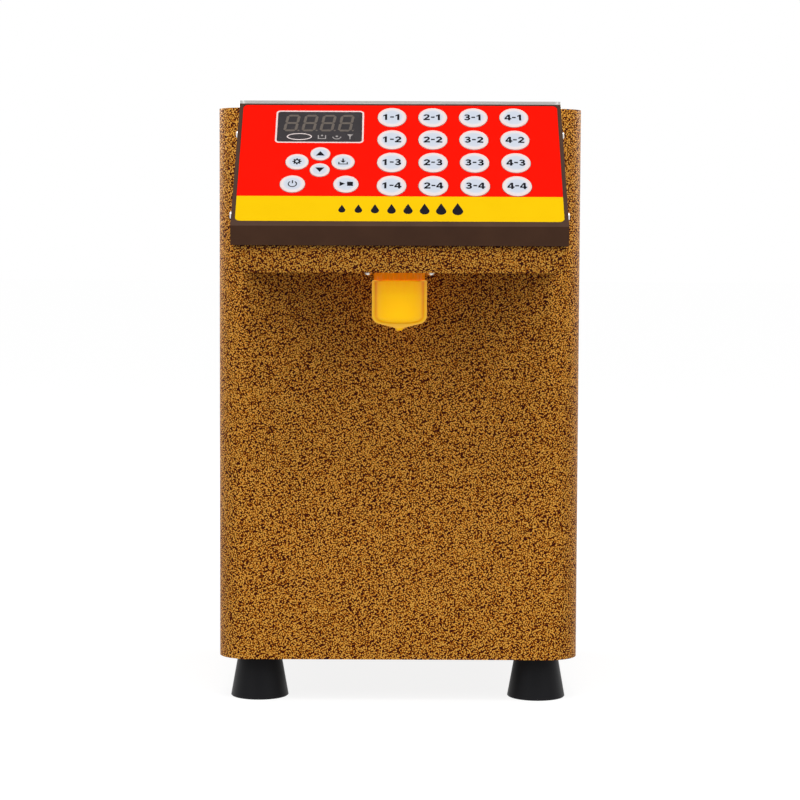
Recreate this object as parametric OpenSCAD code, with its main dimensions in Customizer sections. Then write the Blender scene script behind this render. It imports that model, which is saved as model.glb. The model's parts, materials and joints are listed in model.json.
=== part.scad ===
// Countertop syrup dispenser: a sheet-steel cabinet on four rubber feet, with a
// sloped key panel, a drip nozzle under it, a heated tank behind a hinged lid,
// and a gear pump that lifts the syrup from the tank to the nozzle.
//
// Millimetres. +Z is up, the front faces -Y, and X = 0 is the middle plane.
// The origin is on the counter, in the middle of the outer box.

/* [Cabinet] */
// Outside width of the cabinet
body_w = 260; // [250:1:300]
// Outside depth of the cabinet, front sheet to rear sheet
body_d = 246; // [240:1:290]
// Height of the cabinet above its feet
body_h = 395.5; // [380:0.5:440]
// Outside radius of the two front corners
corner_r = 22; // [12:1:30]
// Thickness of the sheet steel
sheet_t = 1.2; // [0.8:0.1:2]
// Width of the folded flanges inside the cabinet
flange_w = 14; // [12:1:20]
// Thickness of the base plate
base_t = 1.5; // [1:0.1:3]

/* [Feet] */
// Height of a rubber foot
foot_h = 32; // [24:1:45]
// Diameter of a foot where it meets the cabinet
foot_top_d = 31; // [26:0.5:38]
// Diameter of a foot on the counter
foot_bottom_d = 42.2; // [36:0.2:46]
// Distance from a side of the cabinet to the middle of a foot
foot_inset_x = 28.4; // [26:0.2:34]
// Distance from the front or rear of the cabinet to the middle of a foot
foot_inset_y = 32; // [26:1:40]

/* [Control panel] */
// Width of the panel frame
panel_w = 227.6; // [218:0.2:236]
// Length of the panel frame along its slope
panel_l = 126.7; // [124:0.1:140]
// Slope of the panel, from the vertical
panel_tilt = 46.5; // [42:0.5:50]
// How far the top edge of the panel stands above the cabinet
panel_rise = 2.8; // [1:0.1:5]
// Height of the plain lip below the panel
lip_h = 13; // [10:0.5:18]
// Height of the painted face below the lip
face_h = 18.3; // [12:0.1:26]
// Wall of the moulded frame
frame_wall = 1.6; // [1.2:0.1:2.4]
// Thickness of the frame's sloped plate
frame_plate = 3; // [2.6:0.1:4]
// Width of the printed film
film_w = 222; // [210:1:224]
// Width of the frame's rim below the film
film_margin = 4.9; // [3:0.1:5]
// Width of the frame's rim above the film
film_rear_margin = 1.5; // [1.2:0.1:3]
// Thickness of the printed film
film_t = 0.5; // [0.3:0.05:0.6]
// Radius of the corners of the film
film_r = 3.5; // [2:0.5:6]
// Length along the slope of the coloured title strip
title_l = 24.8; // [18:0.2:26]

/* [Display] */
// Width of the display window
window_w = 59.2; // [56:0.2:62]
// Height of the display window along the slope
window_l = 31.8; // [30:0.2:33]
// Sideways place of the middle of the window
window_x = -56.4; // [-60:0.2:-52]
// Distance from the film's top edge down to the window
window_drop = 7.4; // [6:0.1:9]
// Thickness of the window
window_t = 1; // [0.8:0.1:1.2]
// Width of the ledge that the window is glued to
window_ledge = 2.2; // [1.5:0.1:3]

/* [Keys] */
// Gap between two rows of portion keys
key_gap = 3.6; // [3:0.1:5]
// Sideways spacing of the portion keys
key_pitch_x = 28.6; // [26:0.1:28.8]
// Sideways place of the first column of portion keys
key_first_x = -5.7; // [-6:0.1:0]
// Distance from the film's top edge down to the top row
key_drop = 3.05; // [2.5:0.05:4]
// Diameter of the up and down keys
arrow_key_d = 13.8; // [12:0.1:14]
// Diameter of the set and save keys
set_key_d = 16; // [14:0.1:16.4]
// Diameter of the power and stop keys
power_key_d = 17.3; // [15:0.1:18]
// How far a key stands above the film
key_proud = 0.5; // [0.3:0.05:0.8]
// How far a key travels when it is pressed
key_travel = 0.4; // [0.2:0.05:0.6]
// Thickness of a key pad
pad_t = 0.9; // [0.7:0.05:1.1]
// Depth of the circuit board's top face below the panel
board_depth = 9; // [8.5:0.1:11]
// Thickness of the circuit board
board_t = 1.6; // [1:0.1:2]
// Side of a square key switch
switch_side = 6; // [5:0.5:7]
// Height of a key switch's housing
switch_h = 3.5; // [3:0.1:4]
// Diameter of a key switch's plunger
plunger_d = 3.5; // [2.5:0.1:4]

/* [Nozzle] */
// Outside diameter of the drip cup
cup_d = 38.2; // [34:0.2:40]
// Height of the drip cup
cup_h = 34.9; // [30:0.1:42]
// Wall of the drip cup
cup_wall = 2; // [1.5:0.1:2.5]
// Radius of the cup's rounded shoulder
cup_shoulder_r = 6; // [5:0.5:9]
// Drop of the cup's bottom from its shoulder to its tip
cup_cone_drop = 3.3; // [2.5:0.1:5]
// Diameter of the drip hole
drip_d = 2.4; // [1.6:0.2:3]
// Length of the collar that shows above the cup
collar_h = 5.6; // [4:0.1:9]
// Distance from the panel's front to the middle of the nozzle
nozzle_reach = 46; // [42:1:50]
// Distance between the two nozzle screws
nozzle_screw_pitch = 43; // [43:0.2:50]

/* [Tank and lid] */
// Inside width of the tank
tank_w = 196; // [170:1:200]
// Inside depth of the tank, front to rear
tank_d = 178; // [160:1:180]
// Inside height of the tank
tank_h = 225; // [190:1:230]
// Wall of the tank
tank_wall = 1; // [0.8:0.1:1.5]
// Inside radius of the tank's upright corners
tank_r = 18; // [12:1:24]
// Width of the tank's rim
tank_rim = 10; // [8:0.5:11]
// Distance from the cabinet's front to the tank
tank_setback = 33; // [32:0.5:36]
// Height of the lid
lid_h = 6; // [5.8:0.1:10]
// Thickness of the lid's sheet
lid_t = 1; // [0.8:0.1:1.4]
// Gap between the tank's rim and the lid's folded edge
lid_gap = 6; // [4:0.5:7]
// Radius of the lid's corners
lid_r = 5; // [4:0.5:8]
// Radius of a hinge knuckle
hinge_r = 2.4; // [2.2:0.1:2.5]
// Radius of a hinge pin
hinge_pin_r = 1.2; // [0.9:0.1:1.3]
// Length of a hinge
hinge_l = 42; // [36:1:60]
// Distance between the middles of the two hinges
hinge_pitch = 140; // [110:1:160]
// Height of the heating band round the tank
heater_h = 60; // [40:1:80]
// Thickness of the heating band
heater_t = 1.5; // [1:0.1:3]

/* [Pump and hoses] */
// Teeth on each pump gear
gear_teeth = 14; // [12:1:16]
// Module of the pump gears
gear_module = 1.5; // [1.4:0.05:1.6]
// Width of the pump gears
gear_w = 14; // [10:1:18]
// Radius of the pump's shafts
shaft_r = 4; // [3:0.1:5]
// Thickness of the pump's rear wall
pump_wall = 12; // [10:1:14]
// Thickness of the pump's cover
cover_t = 10; // [9:1:14]
// Height of the pump's shafts above the counter
pump_z = 112; // [110:1:118]
// Distance from the cabinet's front to the pump's ports
port_setback = 75; // [74:1:80]
// Radius of the motor's can
motor_r = 26; // [22:1:28]
// Length of the motor
motor_l = 85; // [70:1:88]
// Free length between the pump's plate and the motor's plate
coupling_gap = 28; // [26:1:30]
// Outside diameter of the silicone hose
hose_od = 12; // [11:0.5:13]
// Inside diameter of the silicone hose
hose_id = 8; // [7:0.5:8.5]
// Radius of the hose's bends, on its centreline
hose_bend = 22; // [18:1:24]

/* [Electrics] */
// Width of the power supply
supply_w = 46; // [40:1:50]
// Length of the power supply, front to rear
supply_l = 112; // [95:1:120]
// Height of the power supply
supply_h = 96; // [70:1:100]
// Distance from the cabinet's side to the middle of the supply
supply_inset_x = 48; // [44:1:50]
// Height of the rear fittings above the counter
rear_fit_z = 84; // [76:1:100]
// Sideways place of the power switch
rocker_x = 84; // [80:1:88]
// Sideways place of the mains inlet
inlet_x = 34; // [30:1:36]

/* [Hidden] */
$fn = 64;
fit_gap = 0.2; // between folded sheets, and between the frame and its shell
slide_gap = 0.3; // between moving and fixed pieces
shaft_gap = 0.05; // round a shaft in its bore
bolt_gap = 0.2; // round a screw in its hole
rear_reach = 4; // how far the rear fittings stand behind the cabinet

m3_r = 1.5;
m4_r = 2;
m3_head_r = 2.7;
m4_head_r = 4;
m3_head_h = 2;
m4_head_h = 2.6;
m3_nut_h = 2.4;
m4_nut_h = 3.2;
thread_gap = 0.02; // between a screw and the thread that holds it

// Datums across the depth
head_reach = panel_l * sin(panel_tilt) + fit_gap;
front_y = -(head_reach + body_d + rear_reach) / 2;
body_front = front_y + head_reach;
body_rear = body_front + body_d;

// Datums up the height
base_z = foot_h;
floor_z = base_z + base_t;
top_z = foot_h + body_h;
panel_front_z = top_z + panel_rise - panel_l * cos(panel_tilt);
lip_z = panel_front_z - lip_h;
head_z = lip_z - face_h;

// The sloped panel
film_l = panel_l - film_margin - film_rear_margin;
film_s = film_margin + film_l / 2;
film_rear_s = film_margin + film_l;
title_top_s = film_margin + title_l;
film_recess = 0.6;
film_top = film_t - film_recess;
pad_top = film_top + key_proud;
pocket_floor = pad_top - pad_t - key_travel - 0.1;
shell_w = panel_w - 2 * (frame_wall + fit_gap);
shell_front = front_y + frame_wall + fit_gap;
shell_seat = frame_plate + 0.3;
board_w = 190;
board_front_s = 9; // the board's two ends along the slope
board_rear_s = (head_reach - 1.2 - (board_depth + board_t) * cos(panel_tilt))
    / sin(panel_tilt);
post_x = 89; // the posts that carry the board
post_s = [board_front_s + 5, board_rear_s - 5];
post_r = 3.5;
frame_screw_s = [22, panel_l - 20.7]; // the side screws of the frame, along the slope
frame_screw_drop = 11; // and square to it, below the panel
switch_top = switch_h - board_depth;

// Four rows of portion keys fill the film from the title strip to its top edge
key_rows = 4;
key_rise = 0.45; // from the title strip to the bottom row
key_d = (film_rear_s - key_drop - title_top_s - key_rise - (key_rows - 1) * key_gap)
    / key_rows;
key_pitch_s = key_d + key_gap;
key_top_s = film_rear_s - key_drop - key_d / 2;

// The window, and the room for the control keys below it
window_s = film_rear_s - window_drop - window_l / 2;
control_l = window_s - window_l / 2 - title_top_s;

// Portion keys, named by column and row, then the six control keys:
// each is [name, sideways place, place along the slope, diameter]
portion_keys = [
    for (column = [1 : 4], row = [1 : key_rows])
        [
            str("key_", column, "_", row),
            key_first_x + (column - 1) * key_pitch_x,
            key_top_s - (row - 1) * key_pitch_s,
            key_d
        ]
];
control_x = -55.2; // middle of the group of control keys
set_reach = 15.9; // from the middle of the group to the set and save keys
power_reach = 18.3; // and to the power and stop keys
set_s = title_top_s + 0.618 * control_l;
power_s = title_top_s + 0.213 * control_l;
arrow_reach = arrow_key_d / 2 + 1.5; // from the set keys' line to the arrow keys
control_keys = [
    ["key_up", control_x, set_s + arrow_reach, arrow_key_d],
    ["key_down", control_x, set_s - arrow_reach, arrow_key_d],
    ["key_set", control_x - set_reach, set_s, set_key_d],
    ["key_save", control_x + set_reach, set_s, set_key_d],
    ["key_power", control_x - power_reach, power_s, power_key_d],
    ["key_stop", control_x + power_reach, power_s, power_key_d]
];
keys = concat(portion_keys, control_keys);

// The nozzle
nozzle_y = front_y + nozzle_reach;
collar_r = cup_d / 2 - 1.5;
spigot_r = cup_d / 2 - cup_wall - 0.1;
spigot_h = 9;
cup_rim_z = head_z - collar_h;
cup_tip_z = cup_rim_z - cup_h;
collar_flange_r = 27.5;
collar_flange_t = 4;
collar_seat_z = head_z + sheet_t;
barb_l = 14;
barb_r = hose_id / 2 - shaft_gap;
barb_bore_r = 2.6;

// The tank and its lid
tank_y = body_front + tank_setback + tank_wall + tank_d / 2;
tank_out_w = tank_w + 2 * tank_wall;
tank_out_d = tank_d + 2 * tank_wall;
tank_rim_z = top_z + tank_wall;
tank_floor_z = tank_rim_z - tank_h;
lid_w = tank_out_w + 2 * (tank_rim + lid_gap + lid_t);
lid_d = tank_out_d + 2 * (tank_rim + lid_gap + lid_t);
lid_front = tank_y - lid_d / 2;
lid_rear = tank_y + lid_d / 2;
lid_top_z = top_z + lid_h;
gasket_w = 6;
hinge_y = lid_rear + hinge_r + 1.5;
hinge_z = top_z + hinge_r + 0.4;
leaf_t = 1;
leaf_screw_y = (hinge_y + hinge_r + body_rear) / 2;
leaf_screw_pitch = 26;
knuckle_gap = 0.25;
knuckle_l = hinge_l / 3;
grip_w = 60; // the lip that a finger lifts the lid by
grip_l = 9;

// The pump train
port_y = body_front + port_setback;
gear_spread = gear_teeth * gear_module / 2; // from the middle plane to each shaft
chamber_r = (gear_teeth / 2 + 1) * gear_module + 0.1;
pump_front = port_y - gear_w / 2;
pump_rear = pump_front + gear_w + 0.1 + pump_wall;
pump_half_w = gear_spread + chamber_r + 9;
pump_half_h = chamber_r + 14;
plate_t = 2.5;
motor_front = pump_rear + plate_t + coupling_gap + plate_t;
motor_wall = 3;
rotor_r = motor_r - motor_wall - 4; // the magnets fill the rest of the can
rotor_gap = 0.5;
bracket_w = 70;
bracket_top = pump_z + motor_r + 4;
bolt_x = pump_half_w - 5;
bolt_z = pump_half_h - 5;
pump_bolt_l = cover_t + pump_rear - pump_front + plate_t + m4_nut_h + 1;
motor_bolt_r = 20;
coupling_r = 9;
coupling_l = 24;
journal_l = cover_t - 3;

// The hoses
hose_r = hose_od / 2;
riser_y = body_front + (sheet_t + tank_setback) / 2;
port_start = pump_half_h + 1; // where a hose starts, from the shafts' height
bottom_run_z = pump_z - port_start - barb_l - 2 - hose_bend;
collar_hose_z = collar_seat_z + collar_flange_t + 1;
top_run_z = collar_hose_z + barb_l + 1 + hose_bend;
outlet_nut_h = 6;
outlet_hose_z = tank_floor_z - tank_wall - outlet_nut_h - 2;
clamp_t = 1.2;
clamp_w = 7;
window_z = top_run_z;

// Rear fittings
rocker_flange = [31, 25];
rocker_hole = [28, 21.5];
rocker_slot = [21, 17.4]; // the opening that the rocker turns in: height, width
rocker_pivot = 5; // its pivot, inside the rear face
rocker_swing = 10; // either side of the middle
inlet_hole = [28, 20.4];
inlet_flange = [50, 24];
inlet_socket = [24.5, 16.5];
inlet_socket_l = 16;
inlet_screw_pitch = 40;
fitting_l = 26; // depth of the fittings inside the cabinet
fitting_flange_t = 2;
rear_screw_end = 34; // from the cabinet's top and bottom to the rear panel's screws
rear_screw_z = [base_z + rear_screw_end, base_z + body_h / 2, top_z - rear_screw_end];

// ---------------------------------------------------------------- helpers

// A profile drawn in (y, z), extruded evenly to both sides of X = 0
module across(width) {
    rotate([90, 0, 90])
        linear_extrude(width, center = true)
            children();
}

// A rectangle with round corners, in the middle of its plane
module round_rect(width, depth, r) {
    square([width, depth - 2 * r], center = true);
    square([width - 2 * r, depth], center = true);
    for (x = [-1, 1], y = [-1, 1])
        translate([x * (width / 2 - r), y * (depth / 2 - r)])
            circle(r);
}

// A slot with round ends
module slot(length, width) {
    square([length - width, width], center = true);
    for (x = [-1, 1])
        translate([x * (length - width) / 2, 0])
            circle(width / 2, $fn = 24);
}

// A screw whose head sits on Z = 0 and whose shank points down
module screw(r, length, head_r, head_h) {
    difference() {
        union() {
            cylinder(h = head_h * 0.55, r = head_r);
            translate([0, 0, head_h * 0.55])
                cylinder(h = head_h * 0.45, r1 = head_r, r2 = head_r * 0.72);
            translate([0, 0, -length])
                cylinder(h = length + head_h / 2, r = r);
        }
        for (turn = [0, 90])
            rotate(turn)
                translate([0, 0, head_h])
                    cube([head_r * 1.1, head_r * 0.24, head_h], center = true);
    }
}

// A hole through Z = 0, as deep on both sides
module drill(r, depth) {
    cylinder(h = 2 * depth, r = r, center = true, $fn = 48);
}

module m3_screw(length) {
    screw(m3_r, length, m3_head_r, m3_head_h);
}

module m4_screw(length) {
    screw(m4_r, length, m4_head_r, m4_head_h);
}

// A hexagon nut that stands on Z = 0
module nut(r, across_flats, height) {
    difference() {
        cylinder(h = height, r = across_flats / sqrt(3), $fn = 6);
        translate([0, 0, -1])
            cylinder(h = height + 2, r = r + thread_gap);
    }
}

module m3_nut() {
    nut(m3_r, 5.5, m3_nut_h);
}

module m4_nut() {
    nut(m4_r, 7, m4_nut_h);
}

// Places its children on the sloped panel: X sideways, Y up the slope, Z out of it
module on_panel() {
    translate([0, front_y, panel_front_z])
        rotate([90 - panel_tilt, 0, 0])
            children();
}

// Height of the plane that lies a given depth below the panel, at a given y
function below_panel(y, depth) =
    panel_front_z + ((y - front_y) * cos(panel_tilt) - depth) / sin(panel_tilt);

// The cabinet's outline from above: round front corners, square at the rear
module cabinet_plan(inset, rear) {
    half = body_w / 2 - inset;
    front = body_front + inset;
    r = corner_r - inset;
    translate([-half, front + r])
        square([2 * half, rear - front - r]);
    translate([r - half, front])
        square([2 * (half - r), rear - front]);
    for (side = [-1, 1])
        translate([side * (half - r), front + r])
            circle(r);
}

// A tray's folded wall that follows the inside of the cabinet
module cabinet_flange(inset, thickness, height) {
    linear_extrude(height)
        difference() {
            cabinet_plan(inset, body_rear - 3 * sheet_t);
            cabinet_plan(inset + thickness, body_rear);
        }
}

module four_feet() {
    for (side = [-1, 1], y = [body_front + foot_inset_y, body_rear - foot_inset_y])
        translate([side * (body_w / 2 - foot_inset_x), y, 0])
            children();
}

module rear_screws() {
    for (side = [-1, 1], z = rear_screw_z)
        translate([side * (body_w / 2 - sheet_t - flange_w / 2 - 1), body_rear, z])
            rotate([-90, 0, 0])
                children();
}

// Screws that hold the head on the cabinet, driven from inside it
head_screw_x = shell_w / 2 - sheet_t - flange_w / 2;
head_screw_rise = [22, 78]; // from the head's lower face to its screws
module head_screws() {
    for (side = [-1, 1], rise = head_screw_rise)
        translate([side * head_screw_x, body_front + sheet_t, head_z + rise])
            rotate([-90, 0, 0])
                children();
}

// Side screws of the panel frame; Z points out of the frame's side
module frame_screws() {
    on_panel()
        for (side = [-1, 1], s = frame_screw_s)
            translate([side * panel_w / 2, s, -frame_screw_drop])
                rotate([0, side * 90, 0])
                    children();
}

module board_screws() {
    on_panel()
        for (side = [-1, 1], s = post_s)
            translate([side * post_x, s, -board_depth - board_t])
                rotate([180, 0, 0])
                    children();
}

module nozzle_screws() {
    for (side = [-1, 1])
        translate([side * nozzle_screw_pitch / 2, nozzle_y, head_z])
            rotate([180, 0, 0])
                children();
}

module hinge_screws() {
    for (side = [-1, 1], end = [-1, 1])
        translate([
            side * hinge_pitch / 2 + end * leaf_screw_pitch / 2,
            leaf_screw_y,
            top_z + leaf_t
        ])
            children();
}

bracket_rear = motor_front + 22;
bracket_bolt_y = [pump_rear + plate_t + 10, bracket_rear - 8];
bracket_bolt_x = bracket_w / 2 - 8;
module bracket_bolts() {
    for (side = [-1, 1], y = bracket_bolt_y)
        translate([side * bracket_bolt_x, y, floor_z + plate_t])
            children();
}

module pump_bolts() {
    for (side = [-1, 1], up = [-1, 1])
        translate([side * bolt_x, pump_front - cover_t, pump_z + up * bolt_z])
            rotate([90, 0, 0])
                children();
}

module motor_bolts() {
    for (turn = [45 : 90 : 315])
        translate([
            -gear_spread + motor_bolt_r * cos(turn),
            motor_front - plate_t,
            pump_z + motor_bolt_r * sin(turn)
        ])
            rotate([90, 0, 0])
                children();
}

supply_x = body_w / 2 - supply_inset_x;
supply_setback = 62; // from the cabinet's front to the supply
supply_y = body_front + supply_setback + supply_l / 2;
supply_foot_h = 4;
module supply_screws() {
    for (x = [-1, 1], y = [-1, 1])
        translate([
            supply_x + x * (supply_w / 2 - 7),
            supply_y + y * (supply_l / 2 - 9),
            base_z
        ])
            rotate([180, 0, 0])
                children();
}

module inlet_screws() {
    for (side = [-1, 1])
        translate([
            inlet_x + side * inlet_screw_pitch / 2,
            body_rear + fitting_flange_t,
            rear_fit_z
        ])
            rotate([-90, 0, 0])
                children();
}

// ---------------------------------------------------------------- cabinet

// Front and sides, folded from one sheet
module casing() {
    color("darkgoldenrod")
        difference() {
            union() {
                difference() {
                    translate([0, 0, base_z])
                        linear_extrude(body_h)
                            cabinet_plan(0, body_rear);
                    translate([0, 0, base_z - 1])
                        linear_extrude(body_h + 2)
                            cabinet_plan(sheet_t, body_rear + 1);
                }
                for (side = [0, 1])
                    mirror([side, 0, 0])
                        translate([
                            body_w / 2 - sheet_t - flange_w,
                            body_rear - 2 * sheet_t,
                            floor_z + flange_w + 2
                        ])
                            cube([
                                flange_w + sheet_t / 2,
                                sheet_t,
                                body_h - base_t - sheet_t - 2 * flange_w - 4
                            ]);
            }
            rear_screws()
                drill(m4_r + bolt_gap, 4 * sheet_t);
            head_screws()
                drill(m4_r + bolt_gap, 2 * sheet_t);
            // The opening that the hose and the board's leads pass through
            translate([0, body_front, window_z])
                rotate([90, 0, 0])
                    linear_extrude(6 * sheet_t, center = true)
                        round_rect(70, hose_od + 14, 5);
        }
}

vent_rows = 7;
vent_pitch = 9;
vent_l = 46;
vent_w = 3.2;
vent_z = rear_fit_z + 40;
module vents(columns) {
    for (x = columns, row = [0 : vent_rows - 1])
        translate([x, row * vent_pitch])
            slot(vent_l, vent_w);
}

module rear_panel() {
    panel_bottom = floor_z + fit_gap;
    panel_top = top_z - sheet_t - fit_gap;
    color("darkgoldenrod")
        difference() {
            translate([
                -body_w / 2 + sheet_t + fit_gap,
                body_rear - sheet_t,
                panel_bottom
            ])
                cube([
                    body_w - 2 * (sheet_t + fit_gap),
                    sheet_t,
                    panel_top - panel_bottom
                ]);
            rear_screws()
                drill(m4_r + bolt_gap, 4 * sheet_t);
            inlet_screws()
                drill(m3_r + bolt_gap, 4 * sheet_t);
            translate([0, body_rear, vent_z])
                rotate([90, 0, 0])
                    linear_extrude(6 * sheet_t, center = true)
                        vents([-60, 0, 60]);
            translate([rocker_x, body_rear, rear_fit_z])
                cube([rocker_hole[0], 8 * sheet_t, rocker_hole[1]], center = true);
            translate([inlet_x, body_rear, rear_fit_z])
                cube([inlet_hole[0], 8 * sheet_t, inlet_hole[1]], center = true);
        }
}

module base_plate() {
    color("darkgoldenrod")
        difference() {
            union() {
                translate([0, 0, base_z])
                    linear_extrude(base_t)
                        cabinet_plan(sheet_t + fit_gap, body_rear);
                translate([0, 0, base_z])
                    cabinet_flange(sheet_t + fit_gap, base_t, flange_w);
            }
            four_feet()
                drill(m4_r + bolt_gap, 2 * foot_h);
            bracket_bolts()
                drill(m4_r + bolt_gap, 2 * plate_t + base_t);
            supply_screws()
                drill(m3_r + bolt_gap, 2 * base_t);
            translate([-72, body_front + 70, base_z - 1])
                linear_extrude(base_t + 2)
                    rotate(90)
                        translate([vent_l / 2, -3 * vent_pitch])
                            vents([0, vent_l + 14]);
        }
}

module top_deck() {
    color("darkgoldenrod")
        difference() {
            union() {
                translate([0, 0, top_z - sheet_t])
                    linear_extrude(sheet_t)
                        cabinet_plan(sheet_t + fit_gap, body_rear);
                translate([0, 0, top_z - flange_w])
                    cabinet_flange(sheet_t + fit_gap, sheet_t, flange_w);
            }
            translate([0, tank_y, top_z - 2 * sheet_t])
                linear_extrude(4 * sheet_t)
                    round_rect(tank_out_w + 2, tank_out_d + 2, tank_r + tank_wall + 1);
            hinge_screws()
                drill(m3_r + bolt_gap, leaf_t + 2 * sheet_t);
        }
}

// Folded box under the panel frame, which carries it and the nozzle
module head_shell() {
    shell_back_z = below_panel(body_front, shell_seat);
    notch_y = body_front - frame_wall - 2 * fit_gap; // clear of the frame's rear wall
    notch_z = top_z + panel_rise - lip_h - fit_gap;
    flange_top_z = shell_back_z - 12;
    color("darkgoldenrod")
        difference() {
            union() {
                difference() {
                    across(shell_w)
                        polygon([
                            [shell_front, head_z],
                            [body_front, head_z],
                            [body_front, notch_z],
                            [notch_y, notch_z],
                            [notch_y, below_panel(notch_y, shell_seat)],
                            [shell_front, below_panel(shell_front, shell_seat)]
                        ]);
                    across(shell_w - 2 * sheet_t)
                        polygon([
                            [shell_front + sheet_t, head_z + sheet_t],
                            [body_front + 1, head_z + sheet_t],
                            [body_front + 1, top_z + 20],
                            [shell_front + sheet_t, top_z + 20]
                        ]);
                }
                for (side = [0, 1])
                    mirror([side, 0, 0])
                        translate([
                            shell_w / 2 - sheet_t - flange_w,
                            body_front - sheet_t,
                            head_z + sheet_t / 2
                        ])
                            cube([
                                flange_w + sheet_t / 2,
                                sheet_t,
                                flange_top_z - head_z
                            ]);
            }
            head_screws()
                drill(m4_r + bolt_gap, 4 * sheet_t);
            frame_screws()
                drill(m3_r + bolt_gap, frame_wall + 2 * sheet_t);
            nozzle_screws()
                drill(m3_r + bolt_gap, 2 * sheet_t);
            translate([0, nozzle_y, head_z - 1])
                cylinder(h = sheet_t + 2, r = collar_r + fit_gap);
        }
}

foot_seat_h = 8; // rubber between the screw's head and the cabinet
module rubber_feet() {
    bottom_r = foot_bottom_d / 2;
    top_r = foot_top_d / 2;
    lip = 0.5;
    color([0.07, 0.07, 0.08])
        four_feet()
            rotate_extrude()
                polygon([
                    [7, 0],
                    [bottom_r - lip, 0],
                    [bottom_r, lip],
                    [top_r, foot_h],
                    [m4_r + bolt_gap, foot_h],
                    [m4_r + bolt_gap, foot_h - foot_seat_h],
                    [7, foot_h - foot_seat_h]
                ]);
}

module m4_fasteners() {
    color("silver") {
        four_feet()
            translate([0, 0, foot_h - foot_seat_h])
                rotate([180, 0, 0])
                    m4_screw(foot_seat_h + base_t + m4_nut_h + 1);
        four_feet()
            translate([0, 0, floor_z])
                m4_nut();
        rear_screws()
            m4_screw(2 * sheet_t + m4_nut_h + 1);
        rear_screws()
            translate([0, 0, -2 * sheet_t - m4_nut_h])
                m4_nut();
        head_screws()
            m4_screw(2 * sheet_t + m4_nut_h + 1);
        head_screws()
            translate([0, 0, -2 * sheet_t - m4_nut_h])
                m4_nut();
        bracket_bolts()
            m4_screw(plate_t + base_t + m4_nut_h + 1);
        bracket_bolts()
            translate([0, 0, -plate_t - base_t - m4_nut_h])
                m4_nut();
        pump_bolts()
            m4_screw(pump_bolt_l);
        pump_bolts()
            translate([0, 0, 1 - pump_bolt_l])
                m4_nut();
        motor_bolts()
            m4_screw(plate_t + motor_wall - 1);
    }
}

module m3_fasteners() {
    color("silver") {
        nozzle_screws()
            m3_screw(sheet_t + collar_flange_t - 0.5);
        frame_screws()
            m3_screw(frame_wall + fit_gap + sheet_t + m3_nut_h + 0.6);
        frame_screws()
            translate([0, 0, -frame_wall - fit_gap - sheet_t - m3_nut_h])
                m3_nut();
        board_screws()
            m3_screw(board_t + 4);
        supply_screws()
            m3_screw(base_t + supply_foot_h - 1);
        inlet_screws()
            m3_screw(fitting_flange_t + sheet_t + m3_nut_h + 1);
        inlet_screws()
            translate([0, 0, -fitting_flange_t - sheet_t - m3_nut_h])
                m3_nut();
        hinge_screws()
            m3_screw(leaf_t + sheet_t + m3_nut_h + 0.6);
        hinge_screws()
            translate([0, 0, -leaf_t - sheet_t - m3_nut_h])
                m3_nut();
    }
}

// ---------------------------------------------------------------- panel

// Moulded frame: sloped plate, lip, side skirts and the posts for the board
module panel_frame() {
    back_y = front_y + panel_l * sin(panel_tilt);
    back_z = top_z + panel_rise;
    inner_front = front_y + frame_wall;
    inner_back = back_y - frame_wall;
    color([0.3, 0.2, 0.15])
        difference() {
            union() {
                difference() {
                    across(panel_w)
                        polygon([
                            [front_y, lip_z],
                            [front_y, panel_front_z],
                            [back_y, back_z],
                            [back_y, back_z - lip_h]
                        ]);
                    across(panel_w - 2 * frame_wall)
                        polygon([
                            [inner_front, lip_z - 20],
                            [inner_front, below_panel(inner_front, frame_plate)],
                            [inner_back, below_panel(inner_back, frame_plate)],
                            [inner_back, lip_z - 20]
                        ]);
                }
                on_panel()
                    for (side = [-1, 1], s = post_s)
                        translate([side * post_x, s, -board_depth])
                            cylinder(h = board_depth - frame_plate / 2, r = post_r);
            }
            on_panel() {
                translate([0, film_s, -film_recess])
                    linear_extrude(2)
                        round_rect(film_w + 2 * fit_gap, film_l + 2 * fit_gap, film_r);
                translate([window_x, window_s, film_top - window_t])
                    linear_extrude(3)
                        round_rect(window_w + 2 * fit_gap, window_l + 2 * fit_gap, 2);
                translate([window_x, window_s, 0])
                    cube([
                        window_w - 2 * window_ledge,
                        window_l - 2 * window_ledge,
                        3 * frame_plate
                    ], center = true);
                for (key = keys)
                    translate([key[1], key[2], 0]) {
                        translate([0, 0, pocket_floor])
                            cylinder(h = 3, r = key[3] / 2 + slide_gap);
                        translate([0, 0, -2 * frame_plate])
                            cylinder(
                                h = 3 * frame_plate,
                                r = plunger_d / 2 + slide_gap,
                                $fn = 32
                            );
                    }
                for (side = [-1, 1], s = post_s)
                    translate([side * post_x, s, -board_depth])
                        drill(m3_r + thread_gap, 5);
            }
            frame_screws()
                drill(m3_r + bolt_gap, 2 * frame_wall);
        }
}

// The film's outline, with its holes for the keys and the window
module film_outline() {
    difference() {
        translate([0, film_s])
            round_rect(film_w, film_l, film_r);
        for (key = keys)
            translate([key[1], key[2]])
                circle(key[3] / 2 + slide_gap);
        translate([window_x, window_s])
            round_rect(window_w + fit_gap, window_l + fit_gap, 2);
    }
}

module panel_film() {
    color("red")
        on_panel()
            translate([0, 0, -film_recess])
                linear_extrude(film_t)
                    intersection() {
                        film_outline();
                        translate([-film_w, title_top_s])
                            square([2 * film_w, film_l]);
                    }
}

module title_strip() {
    color("gold")
        on_panel()
            translate([0, 0, -film_recess])
                linear_extrude(film_t)
                    intersection() {
                        film_outline();
                        translate([-film_w, title_top_s - film_l])
                            square([2 * film_w, film_l]);
                    }
}

module display_window() {
    color([0.2, 0.2, 0.22])
        on_panel()
            translate([window_x, window_s, film_top - window_t])
                linear_extrude(window_t)
                    round_rect(window_w, window_l, 2);
}

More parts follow.
